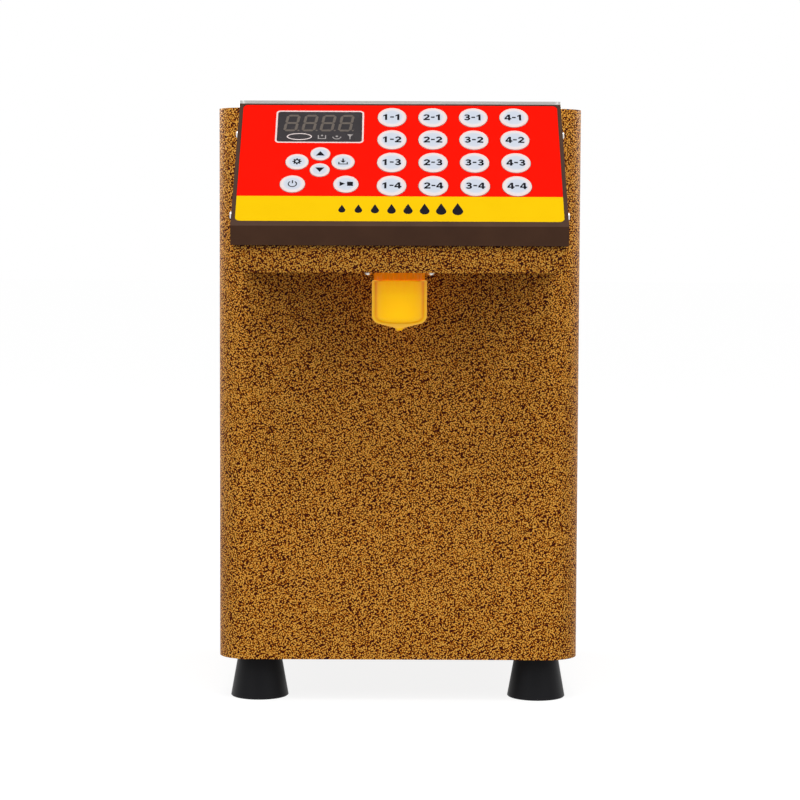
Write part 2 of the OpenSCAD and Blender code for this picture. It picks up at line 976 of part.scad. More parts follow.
module display_module() {
    module_w = window_w - 2 * window_ledge - 2 * fit_gap;
    module_l = window_l - 2 * window_ledge - 2 * fit_gap;
    module_h = board_depth + film_top - window_t - 0.3;
    color([0.12, 0.12, 0.13])
        on_panel()
            translate([window_x, window_s, -board_depth]) {
                translate([-module_w / 2, -module_l / 2, 0])
                    cube([module_w, module_l, module_h]);
                // Solder pins, in two rows of six
                for (row = [-1, 1], pin = [0 : 5])
                    translate([
                        (pin - 2.5) * 7,
                        row * (module_l / 2 - 3),
                        -board_t - 1.5
                    ])
                        cylinder(h = board_t + 2, r = 0.4, $fn = 16);
            }
}

module control_board() {
    color("darkgreen")
        on_panel()
            difference() {
                translate([-board_w / 2, board_front_s, -board_depth - board_t])
                    cube([board_w, board_rear_s - board_front_s, board_t]);
                for (side = [-1, 1], s = post_s)
                    translate([side * post_x, s, -board_depth])
                        drill(m3_r + bolt_gap, 2 * board_t);
                for (row = [-1, 1], pin = [0 : 5])
                    translate([
                        window_x + (pin - 2.5) * 7,
                        window_s
                            + row * (window_l / 2 - window_ledge - fit_gap - 3),
                        -board_depth - 2 * board_t
                    ])
                        cylinder(h = 3 * board_t, r = 0.45, $fn = 16);
            }
}

module key_switches() {
    color([0.15, 0.15, 0.16])
        on_panel()
            for (key = keys)
                translate([key[1], key[2], -board_depth])
                    difference() {
                        translate([-switch_side / 2, -switch_side / 2, 0])
                            cube([switch_side, switch_side, switch_h]);
                        translate([0, 0, 0.8])
                            cylinder(
                                h = switch_h,
                                r = plunger_d / 2 + shaft_gap,
                                $fn = 32
                            );
                    }
}

// A round pad in the film, and the switch plunger that it presses
module key_piece(key) {
    pad_bottom = pad_top - pad_t;
    plunger_bottom = switch_top - switch_h + 0.8 + key_travel + 0.2;
    color("white")
        on_panel()
            translate([key[1], key[2], 0]) {
                translate([0, 0, pad_bottom])
                    cylinder(h = pad_t * 0.7, r = key[3] / 2);
                translate([0, 0, pad_bottom + pad_t * 0.7])
                    cylinder(h = pad_t * 0.3, r1 = key[3] / 2, r2 = key[3] / 2 - 0.4);
                translate([0, 0, plunger_bottom])
                    cylinder(
                        h = pad_bottom - plunger_bottom,
                        r = plunger_d / 2,
                        $fn = 32
                    );
            }
}

// ---------------------------------------------------------------- nozzle

// Fixed amber collar: a flange in the head, a ribbed neck and a spigot for the cup
module nozzle_collar() {
    rib_count = 28;
    flange_z = collar_seat_z - cup_rim_z;
    color([0.85, 0.5, 0.05])
        translate([0, nozzle_y, cup_rim_z])
            difference() {
                union() {
                    rotate_extrude()
                        polygon([
                            [barb_bore_r, -spigot_h - 3],
                            [barb_bore_r + 1.6, -spigot_h - 3],
                            [barb_bore_r + 2.4, -spigot_h + 3],
                            [spigot_r - 2, -spigot_h + 3],
                            [spigot_r - 2, -spigot_h],
                            [spigot_r, -spigot_h],
                            [spigot_r, 0.1],
                            [collar_r, 0.1],
                            [collar_r, flange_z],
                            [collar_flange_r, flange_z],
                            [collar_flange_r, flange_z + collar_flange_t],
                            [barb_r, flange_z + collar_flange_t],
                            [barb_r, flange_z + collar_flange_t + barb_l],
                            [barb_bore_r, flange_z + collar_flange_t + barb_l]
                        ]);
                }
                for (rib = [0 : rib_count - 1])
                    rotate(360 * rib / rib_count)
                        translate([collar_r + 0.35, 0, -1])
                            cylinder(h = collar_h + 1, r = 0.9, $fn = 16);
                translate([0, -nozzle_y, -cup_rim_z])
                    nozzle_screws()
                        drill(m3_r + thread_gap, collar_flange_t + sheet_t - 0.2);
            }
}

// Points of an arc, from one angle to another
function arc(centre, r, from, to, steps = 10) = [
    for (i = [0 : steps])
        let (turn = from + (to - from) * i / steps)
            [centre[0] + r * cos(turn), centre[1] + r * sin(turn)]
];

// The cup's shoulder: its outer side or, with a wall, its inner side
nub_h = 1.3; // how far the spout's nub stands below the cup's cone
nub_r = 3.4; // radius of the nub where it meets the cone
cup_slope = atan(cup_cone_drop / (cup_d / 2 - cup_shoulder_r));
function cup_shoulder(wall) =
    let (
        shoulder = cup_shoulder_r - wall,
        centre = [
            cup_d / 2 - wall - shoulder,
            nub_h + cup_cone_drop + cup_shoulder_r - cup_h
        ]
    )
        arc(centre, shoulder, 0, cup_slope - 90);

module nozzle_cup() {
    outer = cup_shoulder(0);
    inner = cup_shoulder(cup_wall);
    last = outer[len(outer) - 1];
    last_in = inner[len(inner) - 1];
    nub_z = last[1] - (last[0] - nub_r) * tan(cup_slope);
    hole_z = last_in[1] - (last_in[0] - drip_d / 2) * tan(cup_slope);
    color([1, 0.8, 0.05, 0.9])
        translate([0, nozzle_y, cup_rim_z])
            rotate_extrude()
                polygon(concat(
                    [[cup_d / 2 - cup_wall, 0], [cup_d / 2 - 0.6, 0], [cup_d / 2, -0.6]],
                    outer,
                    [
                        [nub_r, nub_z],
                        [drip_d / 2 + 0.9, -cup_h + 0.3],
                        [drip_d / 2 + 0.4, -cup_h],
                        [drip_d / 2, -cup_h],
                        [drip_d / 2, hole_z]
                    ],
                    [for (i = [len(inner) - 1 : -1 : 0]) inner[i]]
                ));
}

// ---------------------------------------------------------------- tank and lid

module syrup_tank() {
    color("lightsteelblue")
        translate([0, tank_y, 0])
            difference() {
                union() {
                    translate([0, 0, tank_floor_z - tank_wall])
                        linear_extrude(tank_h + tank_wall)
                            round_rect(tank_out_w, tank_out_d, tank_r + tank_wall);
                    translate([0, 0, top_z])
                        linear_extrude(tank_wall)
                            round_rect(
                                tank_out_w + 2 * tank_rim,
                                tank_out_d + 2 * tank_rim,
                                6
                            );
                }
                translate([0, 0, tank_floor_z])
                    linear_extrude(tank_h + 1)
                        round_rect(tank_w, tank_d, tank_r);
                translate([0, port_y - tank_y, tank_floor_z - 2 * tank_wall])
                    cylinder(h = 4 * tank_wall, r = 9.2);
            }
}

// Bulkhead spigot with its nut
module tank_outlet() {
    nut_z = tank_floor_z - tank_wall - outlet_nut_h;
    color("silver")
        translate([0, port_y, 0]) {
            rotate_extrude()
                polygon([
                    [3, tank_floor_z + 2],
                    [14, tank_floor_z + 2],
                    [14, tank_floor_z],
                    [9, tank_floor_z],
                    [9, nut_z - 1],
                    [barb_r, nut_z - 1],
                    [barb_r, nut_z - 2 - barb_l],
                    [3, nut_z - 2 - barb_l]
                ]);
            translate([0, 0, nut_z])
                difference() {
                    cylinder(h = outlet_nut_h, r = 15, $fn = 6);
                    translate([0, 0, -1])
                        cylinder(h = outlet_nut_h + 2, r = 9 + thread_gap);
                }
        }
}

module tank_heater() {
    heater_gap = 0.2;
    color("indianred")
        translate([0, tank_y, tank_floor_z + 14])
            linear_extrude(heater_h)
                difference() {
                    round_rect(
                        tank_out_w + 2 * (heater_gap + heater_t),
                        tank_out_d + 2 * (heater_gap + heater_t),
                        tank_r + tank_wall + heater_gap + heater_t
                    );
                    round_rect(
                        tank_out_w + 2 * heater_gap,
                        tank_out_d + 2 * heater_gap,
                        tank_r + tank_wall + heater_gap
                    );
                }
}

// Lid with folded edges, a finger lip in front and the moving half of each hinge
module lid() {
    color("lightgray")
        difference() {
            union() {
                difference() {
                    translate([0, tank_y, top_z + slide_gap])
                        linear_extrude(lid_h - slide_gap)
                            round_rect(lid_w, lid_d, lid_r);
                    translate([0, tank_y, top_z - 1])
                        linear_extrude(lid_h - lid_t + 1)
                            round_rect(lid_w - 2 * lid_t, lid_d - 2 * lid_t, lid_r - lid_t);
                }
                translate([0, lid_front - grip_l + lid_t / 2, top_z + 2]) {
                    translate([-grip_w / 2, 0, 0])
                        cube([grip_w, grip_l, lid_t]);
                }
                for (side = [-1, 1])
                    translate([side * hinge_pitch / 2, 0, 0]) {
                        knuckle(0, knuckle_l - 2 * knuckle_gap);
                        translate([
                            -knuckle_l / 2 + knuckle_gap,
                            lid_rear - lid_t / 2,
                            hinge_z + hinge_r - leaf_t
                        ])
                            cube([
                                knuckle_l - 2 * knuckle_gap,
                                hinge_y - lid_rear + lid_t / 2,
                                leaf_t
                            ]);
                    }
            }
            for (side = [-1, 1])
                translate([side * hinge_pitch / 2, hinge_y, hinge_z])
                    rotate([0, 90, 0])
                        cylinder(h = hinge_l, r = hinge_pin_r + shaft_gap, center = true);
        }
}

// A solid knuckle on the hinge's axis
module knuckle(x, length) {
    translate([x, hinge_y, hinge_z])
        rotate([0, 90, 0])
            cylinder(h = length, r = hinge_r, center = true);
}

module lid_gasket() {
    gasket_z = tank_rim_z + slide_gap;
    ring_w = tank_out_w + tank_rim;
    ring_d = tank_out_d + tank_rim;
    color([0.9, 0.9, 0.88])
        translate([0, tank_y, gasket_z])
            linear_extrude(lid_top_z - lid_t - gasket_z)
                difference() {
                    round_rect(ring_w + gasket_w, ring_d + gasket_w, 8 + gasket_w / 2);
                    round_rect(ring_w - gasket_w, ring_d - gasket_w, 8 - gasket_w / 2);
                }
}

// The fixed leaf of each hinge, with its two knuckles and its pin
module lid_hinges() {
    color("silver")
        for (side = [-1, 1])
            translate([side * hinge_pitch / 2, 0, 0]) {
                difference() {
                    union() {
                        translate([-hinge_l / 2, hinge_y, top_z])
                            cube([hinge_l, body_rear - 2 - hinge_y, leaf_t]);
                        for (end = [-1, 1])
                            knuckle(end * knuckle_l, knuckle_l);
                    }
                    translate([0, hinge_y, hinge_z])
                        rotate([0, 90, 0])
                            cylinder(
                                h = 2 * hinge_l,
                                r = hinge_pin_r + thread_gap,
                                center = true
                            );
                    translate([0, hinge_y, hinge_z])
                        rotate([0, 90, 0])
                            cylinder(
                                h = knuckle_l,
                                r = hinge_r + slide_gap,
                                center = true
                            );
                    for (end = [-1, 1])
                        translate([end * leaf_screw_pitch / 2, leaf_screw_y, top_z])
                            drill(m3_r + bolt_gap, 2 * leaf_t);
                }
                translate([0, hinge_y, hinge_z])
                    rotate([0, 90, 0])
                        cylinder(h = hinge_l + 1, r = hinge_pin_r, center = true);
            }
}

// ---------------------------------------------------------------- pump

// Involute gear outline with a tooth on +X, thinned for backlash
gear_pressure = 25;
gear_backlash = 0.3;
gear_flank_steps = 5;
function involute(turn) = tan(turn) * 180 / PI - turn;
function flank_point(pitch_r, r, half_tooth) =
    let (
        base_r = pitch_r * cos(gear_pressure),
        here = acos(min(1, base_r / max(r, base_r))),
        angle = half_tooth + involute(gear_pressure) - involute(here)
    )
        [r, angle];
function gear_points() =
    let (
        pitch_r = gear_teeth * gear_module / 2,
        tip_r = pitch_r + gear_module,
        root_r = pitch_r - 1.25 * gear_module,
        base_r = max(pitch_r * cos(gear_pressure), root_r),
        half_tooth = 90 / gear_teeth - gear_backlash / 4 / pitch_r * 180 / PI,
        radii = [
            for (i = [0 : gear_flank_steps])
                base_r + (tip_r - base_r) * i / gear_flank_steps
        ],
        flank = concat(
            [[root_r, flank_point(pitch_r, base_r, half_tooth)[1]]],
            [for (r = radii) flank_point(pitch_r, r, half_tooth)]
        ),
        count = len(flank)
    )
        [
            for (tooth = [0 : gear_teeth - 1])
                for (i = [0 : 2 * count - 1])
                    let (
                        p = i < count ? flank[i] : flank[2 * count - 1 - i],
                        side = i < count ? -1 : 1,
                        turn = 360 * tooth / gear_teeth + side * p[1]
                    )
                        [p[0] * cos(turn), p[0] * sin(turn)]
        ];

// A gear between Y = pump_front and its rear face, turned about its shaft
module pump_gear(turn) {
    translate([0, pump_front + 0.05, pump_z])
        rotate([-90, 0, 0])
            linear_extrude(gear_w)
                rotate(turn)
                    polygon(gear_points());
}

// A round bar on the shaft's height, along Y
module bar(x, from, to, r) {
    translate([x, from, pump_z])
        rotate([-90, 0, 0])
            cylinder(h = to - from, r = r);
}

pump_shaft_end = pump_rear + plate_t + coupling_gap / 2 - 0.5;
motor_shaft_end = pump_rear + plate_t + coupling_gap / 2 + 0.5;

module pump_drive_gear() {
    color("silver") {
        union() {
            translate([-gear_spread, 0, 0])
                pump_gear(0);
            bar(-gear_spread, pump_front - journal_l, pump_shaft_end, shaft_r);
        }
    }
}

module pump_idler_gear() {
    color("silver") {
        union() {
            translate([gear_spread, 0, 0])
                pump_gear(180 / gear_teeth * (1 + gear_teeth % 2));
            bar(
                gear_spread,
                pump_front - journal_l,
                pump_front + gear_w + journal_l,
                shaft_r
            );
        }
    }
}

module pump_body() {
    color("silver")
        difference() {
            union() {
                translate([-pump_half_w, pump_front, pump_z - pump_half_h])
                    cube([2 * pump_half_w, pump_rear - pump_front, 2 * pump_half_h]);
                for (up = [0, 180])
                    translate([0, port_y, pump_z])
                        rotate([up, 0, 0])
                            cylinder(h = port_start + barb_l, r = barb_r);
            }
            for (side = [-1, 1]) {
                bar(
                    side * gear_spread,
                    pump_front - 1,
                    pump_front + gear_w + 0.1,
                    chamber_r
                );
                bar(
                    side * gear_spread,
                    pump_front,
                    pump_front + gear_w + journal_l + 0.5,
                    shaft_r + shaft_gap
                );
            }
            bar(-gear_spread, pump_front, pump_rear + 1, shaft_r + shaft_gap);
            for (up = [0, 180])
                translate([0, port_y, pump_z])
                    rotate([up, 0, 0])
                        cylinder(h = port_start + barb_l + 1, r = barb_bore_r);
            pump_bolts()
                drill(m4_r + bolt_gap, pump_bolt_l);
        }
}

module pump_cover() {
    color("gainsboro")
        difference() {
            translate([-pump_half_w, pump_front - cover_t, pump_z - pump_half_h])
                cube([2 * pump_half_w, cover_t, 2 * pump_half_h]);
            for (side = [-1, 1])
                bar(
                    side * gear_spread,
                    pump_front - journal_l - 0.5,
                    pump_front + 1,
                    shaft_r + shaft_gap
                );
            pump_bolts()
                drill(m4_r + bolt_gap, 2 * cover_t);
        }
}

module shaft_coupling() {
    middle = pump_rear + plate_t + coupling_gap / 2;
    color("dimgray")
        difference() {
            bar(-gear_spread, middle - coupling_l / 2, middle + coupling_l / 2, coupling_r);
            bar(
                -gear_spread,
                middle - coupling_l,
                middle + coupling_l,
                shaft_r + thread_gap
            );
        }
}

module motor_rotor() {
    rotor_front = motor_front + motor_wall + 8;
    rotor_rear = motor_front + motor_l - motor_wall - 14;
    color("goldenrod") {
        union() {
            bar(
                -gear_spread,
                motor_shaft_end,
                motor_front + motor_l - motor_wall,
                shaft_r
            );
            bar(-gear_spread, rotor_front, rotor_rear, rotor_r);
        }
    }
}

module pump_motor() {
    color("gray")
        difference() {
            union() {
                bar(-gear_spread, motor_front, motor_front + motor_l, motor_r);
                for (side = [-1, 1])
                    translate([
                        -gear_spread + side * 12 - 3,
                        motor_front + motor_l - 1,
                        pump_z - 0.5
                    ])
                        cube([6, 9, 1]);
            }
            bar(
                -gear_spread,
                motor_front + motor_wall,
                motor_front + motor_l - 2 * motor_wall,
                rotor_r + rotor_gap
            );
            bar(
                -gear_spread,
                motor_front - 1,
                motor_front + motor_l - motor_wall + 0.5,
                shaft_r + shaft_gap
            );
            motor_bolts()
                drill(m4_r + thread_gap, plate_t + motor_wall - 0.5);
        }
}

// Folded bracket: a floor and two upright plates
module pump_bracket() {
    color("lightslategray")
        difference() {
            union() {
                translate([-bracket_w / 2, pump_rear, floor_z])
                    cube([bracket_w, bracket_rear - pump_rear, plate_t]);
                for (y = [pump_rear, motor_front - plate_t])
                    translate([-bracket_w / 2, y, floor_z])
                        cube([bracket_w, plate_t, bracket_top - floor_z]);
            }
            bar(-gear_spread, pump_rear - 1, pump_rear + plate_t + 1, shaft_r + 2);
            bar(-gear_spread, motor_front - plate_t - 1, motor_front + 1, shaft_r + 2);
            pump_bolts()
                drill(m4_r + bolt_gap, pump_bolt_l);
            motor_bolts()
                drill(m4_r + bolt_gap, 2 * plate_t);
            bracket_bolts()
                drill(m4_r + bolt_gap, 2 * plate_t);
        }
}

// ---------------------------------------------------------------- hoses

module hose_ring() {
    difference() {
        circle(hose_r);
        circle(hose_id / 2);
    }
}

// A straight length of hose along Z
module hose_run(length) {
    linear_extrude(length)
        hose_ring();
}

// A quarter bend that starts upwards at the origin and ends towards -Y
module hose_elbow() {
    translate([0, -hose_bend, 0])
        rotate([90, 0, 90])
            rotate_extrude(angle = 90)
                translate([hose_bend, 0])
                    hose_ring();
}

module suction_hose() {
    color([0.92, 0.92, 0.9, 0.8])
        translate([0, port_y, pump_z + port_start])
            hose_run(outlet_hose_z - pump_z - port_start);
}

// Down from the pump, forward, up in front of the tank, and over into the collar
module delivery_hose() {
    start_z = pump_z - port_start;
    color([0.92, 0.92, 0.9, 0.8]) {
        union() {
            translate([0, port_y, bottom_run_z + hose_bend])
                hose_run(start_z - bottom_run_z - hose_bend);
            translate([0, port_y, bottom_run_z + hose_bend])
                mirror([0, 0, 1])
                    hose_elbow();
            translate([0, port_y - hose_bend, bottom_run_z])
                rotate([90, 0, 0])
                    hose_run(port_y - riser_y - 2 * hose_bend);
            translate([0, riser_y, bottom_run_z + hose_bend])
                mirror([0, 1, 0])
                    mirror([0, 0, 1])
                        hose_elbow();
            translate([0, riser_y, bottom_run_z + hose_bend])
                hose_run(top_run_z - bottom_run_z - 2 * hose_bend);
            translate([0, riser_y, top_run_z - hose_bend])
                hose_elbow();
            translate([0, riser_y - hose_bend, top_run_z])
                rotate([90, 0, 0])
                    hose_run(riser_y - nozzle_y - 2 * hose_bend);
            translate([0, nozzle_y, top_run_z - hose_bend])
                mirror([0, 1, 0])
                    hose_elbow();
            translate([0, nozzle_y, collar_hose_z])
                hose_run(top_run_z - hose_bend - collar_hose_z);
        }
    }
}

// A worm-drive clamp round a hose, on Z = 0 upwards
module hose_clamp() {
    clamp_r = hose_r + shaft_gap;
    difference() {
        union() {
            cylinder(h = clamp_w, r = clamp_r + clamp_t);
            translate([clamp_r - 1, -4, 0])
                cube([6, 8, clamp_w]);
        }
        translate([0, 0, -1])
            cylinder(h = clamp_w + 2, r = clamp_r);
    }
}

module hose_clamps() {
    color("silver") {
        translate([0, port_y, pump_z + port_start + 3])
            hose_clamp();
        translate([0, port_y, outlet_hose_z - 3 - clamp_w])
            hose_clamp();
        translate([0, port_y, pump_z - port_start - 3 - clamp_w])
            hose_clamp();
        translate([0, nozzle_y, collar_hose_z + 3])
            hose_clamp();
    }
}

// ---------------------------------------------------------------- electrics

module power_supply() {
    box_z = floor_z + supply_foot_h;
    color("silver")
        translate([supply_x, supply_y, 0])
            difference() {
                union() {
                    translate([-supply_w / 2, -supply_l / 2, box_z])
                        cube([supply_w, supply_l, supply_h]);
                    for (x = [-1, 1], y = [-1, 1])
                        translate([
                            x * (supply_w / 2 - 7),
                            y * (supply_l / 2 - 9),
                            floor_z
                        ])
                            cylinder(h = supply_foot_h + 1, r = 4.5);
                    // Terminal strip on its rear end
                    translate([-supply_w / 2 + 4, supply_l / 2 - 1, box_z + 8])
                        cube([supply_w - 8, 11, 16]);
                }
                for (row = [0 : 8])
                    translate([0, supply_l * (row - 4) / 11, box_z + supply_h])
                        cube([supply_w - 12, 3, 6], center = true);
                translate([-supply_x, -supply_y, 0])
                    supply_screws()
                        drill(m3_r + thread_gap, base_t + supply_foot_h);
            }
}

rocker_axle_r = 2;
module rocker_axle(r, length) {
    translate([0, -rocker_pivot, 0])
        rotate([0, 90, 0])
            cylinder(h = length, r = r, center = true, $fn = 32);
}

// Housing of the rocker switch, snapped into the rear panel
module power_switch() {
    color([0.1, 0.1, 0.1])
        translate([rocker_x, body_rear, rear_fit_z])
            difference() {
                union() {
                    translate([-rocker_flange[0] / 2, 0, -rocker_flange[1] / 2])
                        cube([rocker_flange[0], fitting_flange_t, rocker_flange[1]]);
                    translate([
                        -rocker_hole[0] / 2 + fit_gap,
                        -fitting_l,
                        -rocker_hole[1] / 2 + fit_gap
                    ])
                        cube([
                            rocker_hole[0] - 2 * fit_gap,
                            fitting_l + 1,
                            rocker_hole[1] - 2 * fit_gap
                        ]);
                    for (blade = [-8, 0, 8])
                        translate([blade - 3, -fitting_l - 8, -0.4])
                            cube([6, 9, 0.8]);
                }
                translate([-rocker_slot[0] / 2, -14, -rocker_slot[1] / 2])
                    cube([rocker_slot[0], 20, rocker_slot[1]]);
                rocker_axle(rocker_axle_r + shaft_gap, rocker_slot[0] + 3);
            }
}

// The rocker, at rest with its upper half out
module power_rocker() {
    reach = rocker_slot[1] / 2 - slide_gap;
    face = rocker_pivot + fitting_flange_t - 0.4; // from the pivot to the face
    color([0.75, 0.05, 0.05])
        translate([rocker_x, body_rear, rear_fit_z]) {
            intersection() {
                translate([0, -rocker_pivot, 0])
                    rotate([0, 90, 0])
                        cylinder(
                            h = rocker_slot[0] - 2 * slide_gap,
                            r = reach,
                            center = true
                        );
                translate([0, -rocker_pivot, 0])
                    rotate([-rocker_swing, 0, 0])
                        across(2 * rocker_slot[0])
                            polygon([
                                [-4, -reach],
                                [face + reach * tan(rocker_swing), -reach],
                                [face, 0],
                                [face + reach * tan(rocker_swing), reach],
                                [-4, reach]
                            ]);
            }
            rocker_axle(rocker_axle_r, rocker_slot[0] + 2.4);
        }
}

// Three-pin inlet with its screw ears
module mains_inlet() {
    socket_floor = fitting_flange_t - inlet_socket_l;
    color([0.12, 0.12, 0.12])
        translate([inlet_x, body_rear, rear_fit_z]) {
            difference() {
                union() {
                    rotate([-90, 0, 0])
                        linear_extrude(fitting_flange_t)
                            round_rect(inlet_flange[0], inlet_flange[1], 4);
                    translate([
                        -inlet_hole[0] / 2 + fit_gap,
                        -fitting_l,
                        -inlet_hole[1] / 2 + fit_gap
                    ])
                        cube([
                            inlet_hole[0] - 2 * fit_gap,
                            fitting_l + 1,
                            inlet_hole[1] - 2 * fit_gap
                        ]);
                    for (blade = [-7, 0, 7])
                        translate([blade - 1.5, -fitting_l - 8, -0.4])
                            cube([3, 9, 0.8]);
                }
                translate([-inlet_socket[0] / 2, socket_floor, -inlet_socket[1] / 2])
                    cube([inlet_socket[0], inlet_socket_l + 1, inlet_socket[1]]);
                translate([-inlet_x, -body_rear, -rear_fit_z])
                    inlet_screws()
                        drill(m3_r + bolt_gap, 2 * fitting_flange_t);
            }
            for (pin = [[-7, -2], [7, -2], [0, 2]])
                translate([pin[0] - 1, socket_floor - 1, pin[1] - 2])
                    cube([2, inlet_socket_l - 2, 4]);
        }
}

// ---------------------------------------------------------------- nodes

casing();
rear_panel();
base_plate();
top_deck();
head_shell();
rubber_feet();
m4_fasteners();
m3_fasteners();
panel_frame();
panel_film();
title_strip();
display_window();
display_module();
control_board();
key_switches();
nozzle_collar();
nozzle_cup();
syrup_tank();
tank_outlet();
tank_heater();
lid();
lid_gasket();
lid_hinges();
pump_body();
pump_cover();
pump_drive_gear();
pump_idler_gear();
shaft_coupling();
motor_rotor();
pump_motor();
pump_bracket();
suction_hose();
delivery_hose();
hose_clamps();
power_supply();
power_switch();
power_rocker();
mains_inlet();
for (key = keys)
    key_piece(key);
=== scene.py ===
import json
import math

import bmesh
import bpy
from mathutils import Matrix, Vector


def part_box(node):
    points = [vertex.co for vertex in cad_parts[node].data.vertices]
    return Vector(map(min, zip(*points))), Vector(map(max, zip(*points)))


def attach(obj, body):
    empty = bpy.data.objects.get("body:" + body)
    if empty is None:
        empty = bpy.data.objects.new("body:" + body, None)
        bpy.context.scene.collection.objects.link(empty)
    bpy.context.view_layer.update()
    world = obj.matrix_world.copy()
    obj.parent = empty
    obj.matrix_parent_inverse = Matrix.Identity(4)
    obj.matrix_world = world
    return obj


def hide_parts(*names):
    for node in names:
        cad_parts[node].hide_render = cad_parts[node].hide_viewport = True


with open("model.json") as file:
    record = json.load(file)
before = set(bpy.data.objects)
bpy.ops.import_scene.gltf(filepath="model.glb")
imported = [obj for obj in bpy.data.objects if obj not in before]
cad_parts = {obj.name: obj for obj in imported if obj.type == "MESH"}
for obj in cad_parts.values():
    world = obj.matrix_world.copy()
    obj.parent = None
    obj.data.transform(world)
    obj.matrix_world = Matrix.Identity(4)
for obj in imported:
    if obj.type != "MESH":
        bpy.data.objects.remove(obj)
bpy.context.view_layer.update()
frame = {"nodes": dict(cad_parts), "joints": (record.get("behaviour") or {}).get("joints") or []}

nodes = frame["nodes"]
scene = bpy.context.scene
scene.view_settings.view_transform = "Standard"

# ------------------------------------------------------------------ camera
# A long lens 1.6 m in front of the cabinet, at the height of the key panel's
# lower edge. It looks slightly down, turned by a quarter of a degree. The
# cabinet's cord isn't in view, and none is made.
FOCAL_PIXELS = 2235.7
PHOTO_PIXELS = 800
CAMERA_REACH = 1.597  # in front of the cabinet's front sheet
CAMERA_HEIGHT = 0.3293
CAMERA_SIDE = 0.0007
CAMERA_DOWN = math.radians(3.92)
CAMERA_ROLL = math.radians(0.24)

front_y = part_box("casing")[0].y
camera = bpy.data.objects.new("camera", bpy.data.cameras.new("camera"))
scene.collection.objects.link(camera)
camera.data.sensor_width = 36
camera.data.lens = camera.data.sensor_width * FOCAL_PIXELS / PHOTO_PIXELS
camera.matrix_world = (
    Matrix.Translation((CAMERA_SIDE, front_y - CAMERA_REACH, CAMERA_HEIGHT))
    @ Matrix.Rotation(math.pi / 2 - CAMERA_DOWN, 4, "X")
    @ Matrix.Rotation(CAMERA_ROLL, 4, "Z")
)
scene.camera = camera

# ------------------------------------------------------------------ cabinet
# The folded steel sheets are sprayed with gold hammertone paint. As it dries,
# it draws together into small shiny cells over a red-brown ground.
MM = 0.001
CELL = 1.1 * MM
CELL_RISE = 0.1 * MM
NOISE_TURN = (0.5, 0.35, 0.2)  # so that no sheet lies along the noise's own grid


def new_material(name, **sockets):
    """A material with one Principled shader; each keyword sets one of its sockets."""
    material = bpy.data.materials.new(name)
    material.use_nodes = True
    shader = material.node_tree.nodes["Principled BSDF"]
    for socket, value in sockets.items():
        shader.inputs[socket.replace("_", " ")].default_value = value
    return material, material.node_tree, shader


def new_group(name, inputs, outputs):
    """An empty shader node group with float sockets, and its two end nodes."""
    group = bpy.data.node_groups.new(name, "ShaderNodeTree")
    for label, value in inputs.items():
        socket = group.interface.new_socket(
            name=label, in_out="INPUT", socket_type="NodeSocketFloat"
        )
        socket.default_value = value
    for label in outputs:
        group.interface.new_socket(
            name=label, in_out="OUTPUT", socket_type="NodeSocketFloat"
        )
    return group, group.nodes.new("NodeGroupInput"), group.nodes.new("NodeGroupOutput")


def place_group(tree, group, **values):
    """Puts a shared node group in a material, with that material's own values."""
    node = tree.nodes.new("ShaderNodeGroup")
    node.node_tree = group
    for socket, value in values.items():
        node.inputs[socket].default_value = value
    return node


def math_node(tree, operation, *values):
    """A Math node whose inputs are sockets or numbers; gives its output."""
    node = tree.nodes.new("ShaderNodeMath")
    node.operation = operation
    for socket, value in zip(node.inputs, values):
        if isinstance(value, bpy.types.NodeSocket):
            tree.links.new(value, socket)
        else:
            socket.default_value = value
    return node.outputs[0]


def ramp(tree, mask, *stops):
    """A colour ramp; each stop is a position and a linear colour or a grey."""
    node = tree.nodes.new("ShaderNodeValToRGB")
    elements = node.color_ramp.elements
    while len(elements) < len(stops):
        elements.new(0.5)
    for element, (position, value) in zip(elements, stops):
        element.position = position
        colour = value if isinstance(value, tuple) else (value, value, value)
        element.color = (*colour, 1)
    tree.links.new(mask, node.inputs["Fac"])
    return node.outputs["Color"]


def noise(tree, size, detail=2.0, roughness=0.5, stretch=(1, 1, 1)):
    """Solid noise in the part's own frame, its lumps about size metres across."""
    place = tree.nodes.new("ShaderNodeTexCoord")
    mapping = tree.nodes.new("ShaderNodeMapping")
    mapping.inputs["Scale"].default_value = [1 / s for s in stretch]
    mapping.inputs["Rotation"].default_value = NOISE_TURN
    tree.links.new(place.outputs["Object"], mapping.inputs["Vector"])
    texture = tree.nodes.new("ShaderNodeTexNoise")
    texture.inputs["Detail"].default_value = detail
    texture.inputs["Roughness"].default_value = roughness
    tree.links.new(mapping.outputs["Vector"], texture.inputs["Vector"])
    if isinstance(size, bpy.types.NodeSocket):
        tree.links.new(math_node(tree, "DIVIDE", 1.0, size), texture.inputs["Scale"])
    else:
        texture.inputs["Scale"].default_value = 1 / size
    return texture.outputs["Fac"]


def bump(tree, shader, height, depth):
    """Feeds a height from 0 to 1 to the shader's normal, depth metres deep."""
    node = tree.nodes.new("ShaderNodeBump")
    node.inputs["Distance"].default_value = depth
    tree.links.new(height, node.inputs["Height"])
    tree.links.new(node.outputs["Normal"], shader.inputs["Normal"])


def paint(material, *names):
    """Gives CAD nodes their material."""
    for name in names:
        nodes[name].data.materials.clear()
        nodes[name].data.materials.append(material)


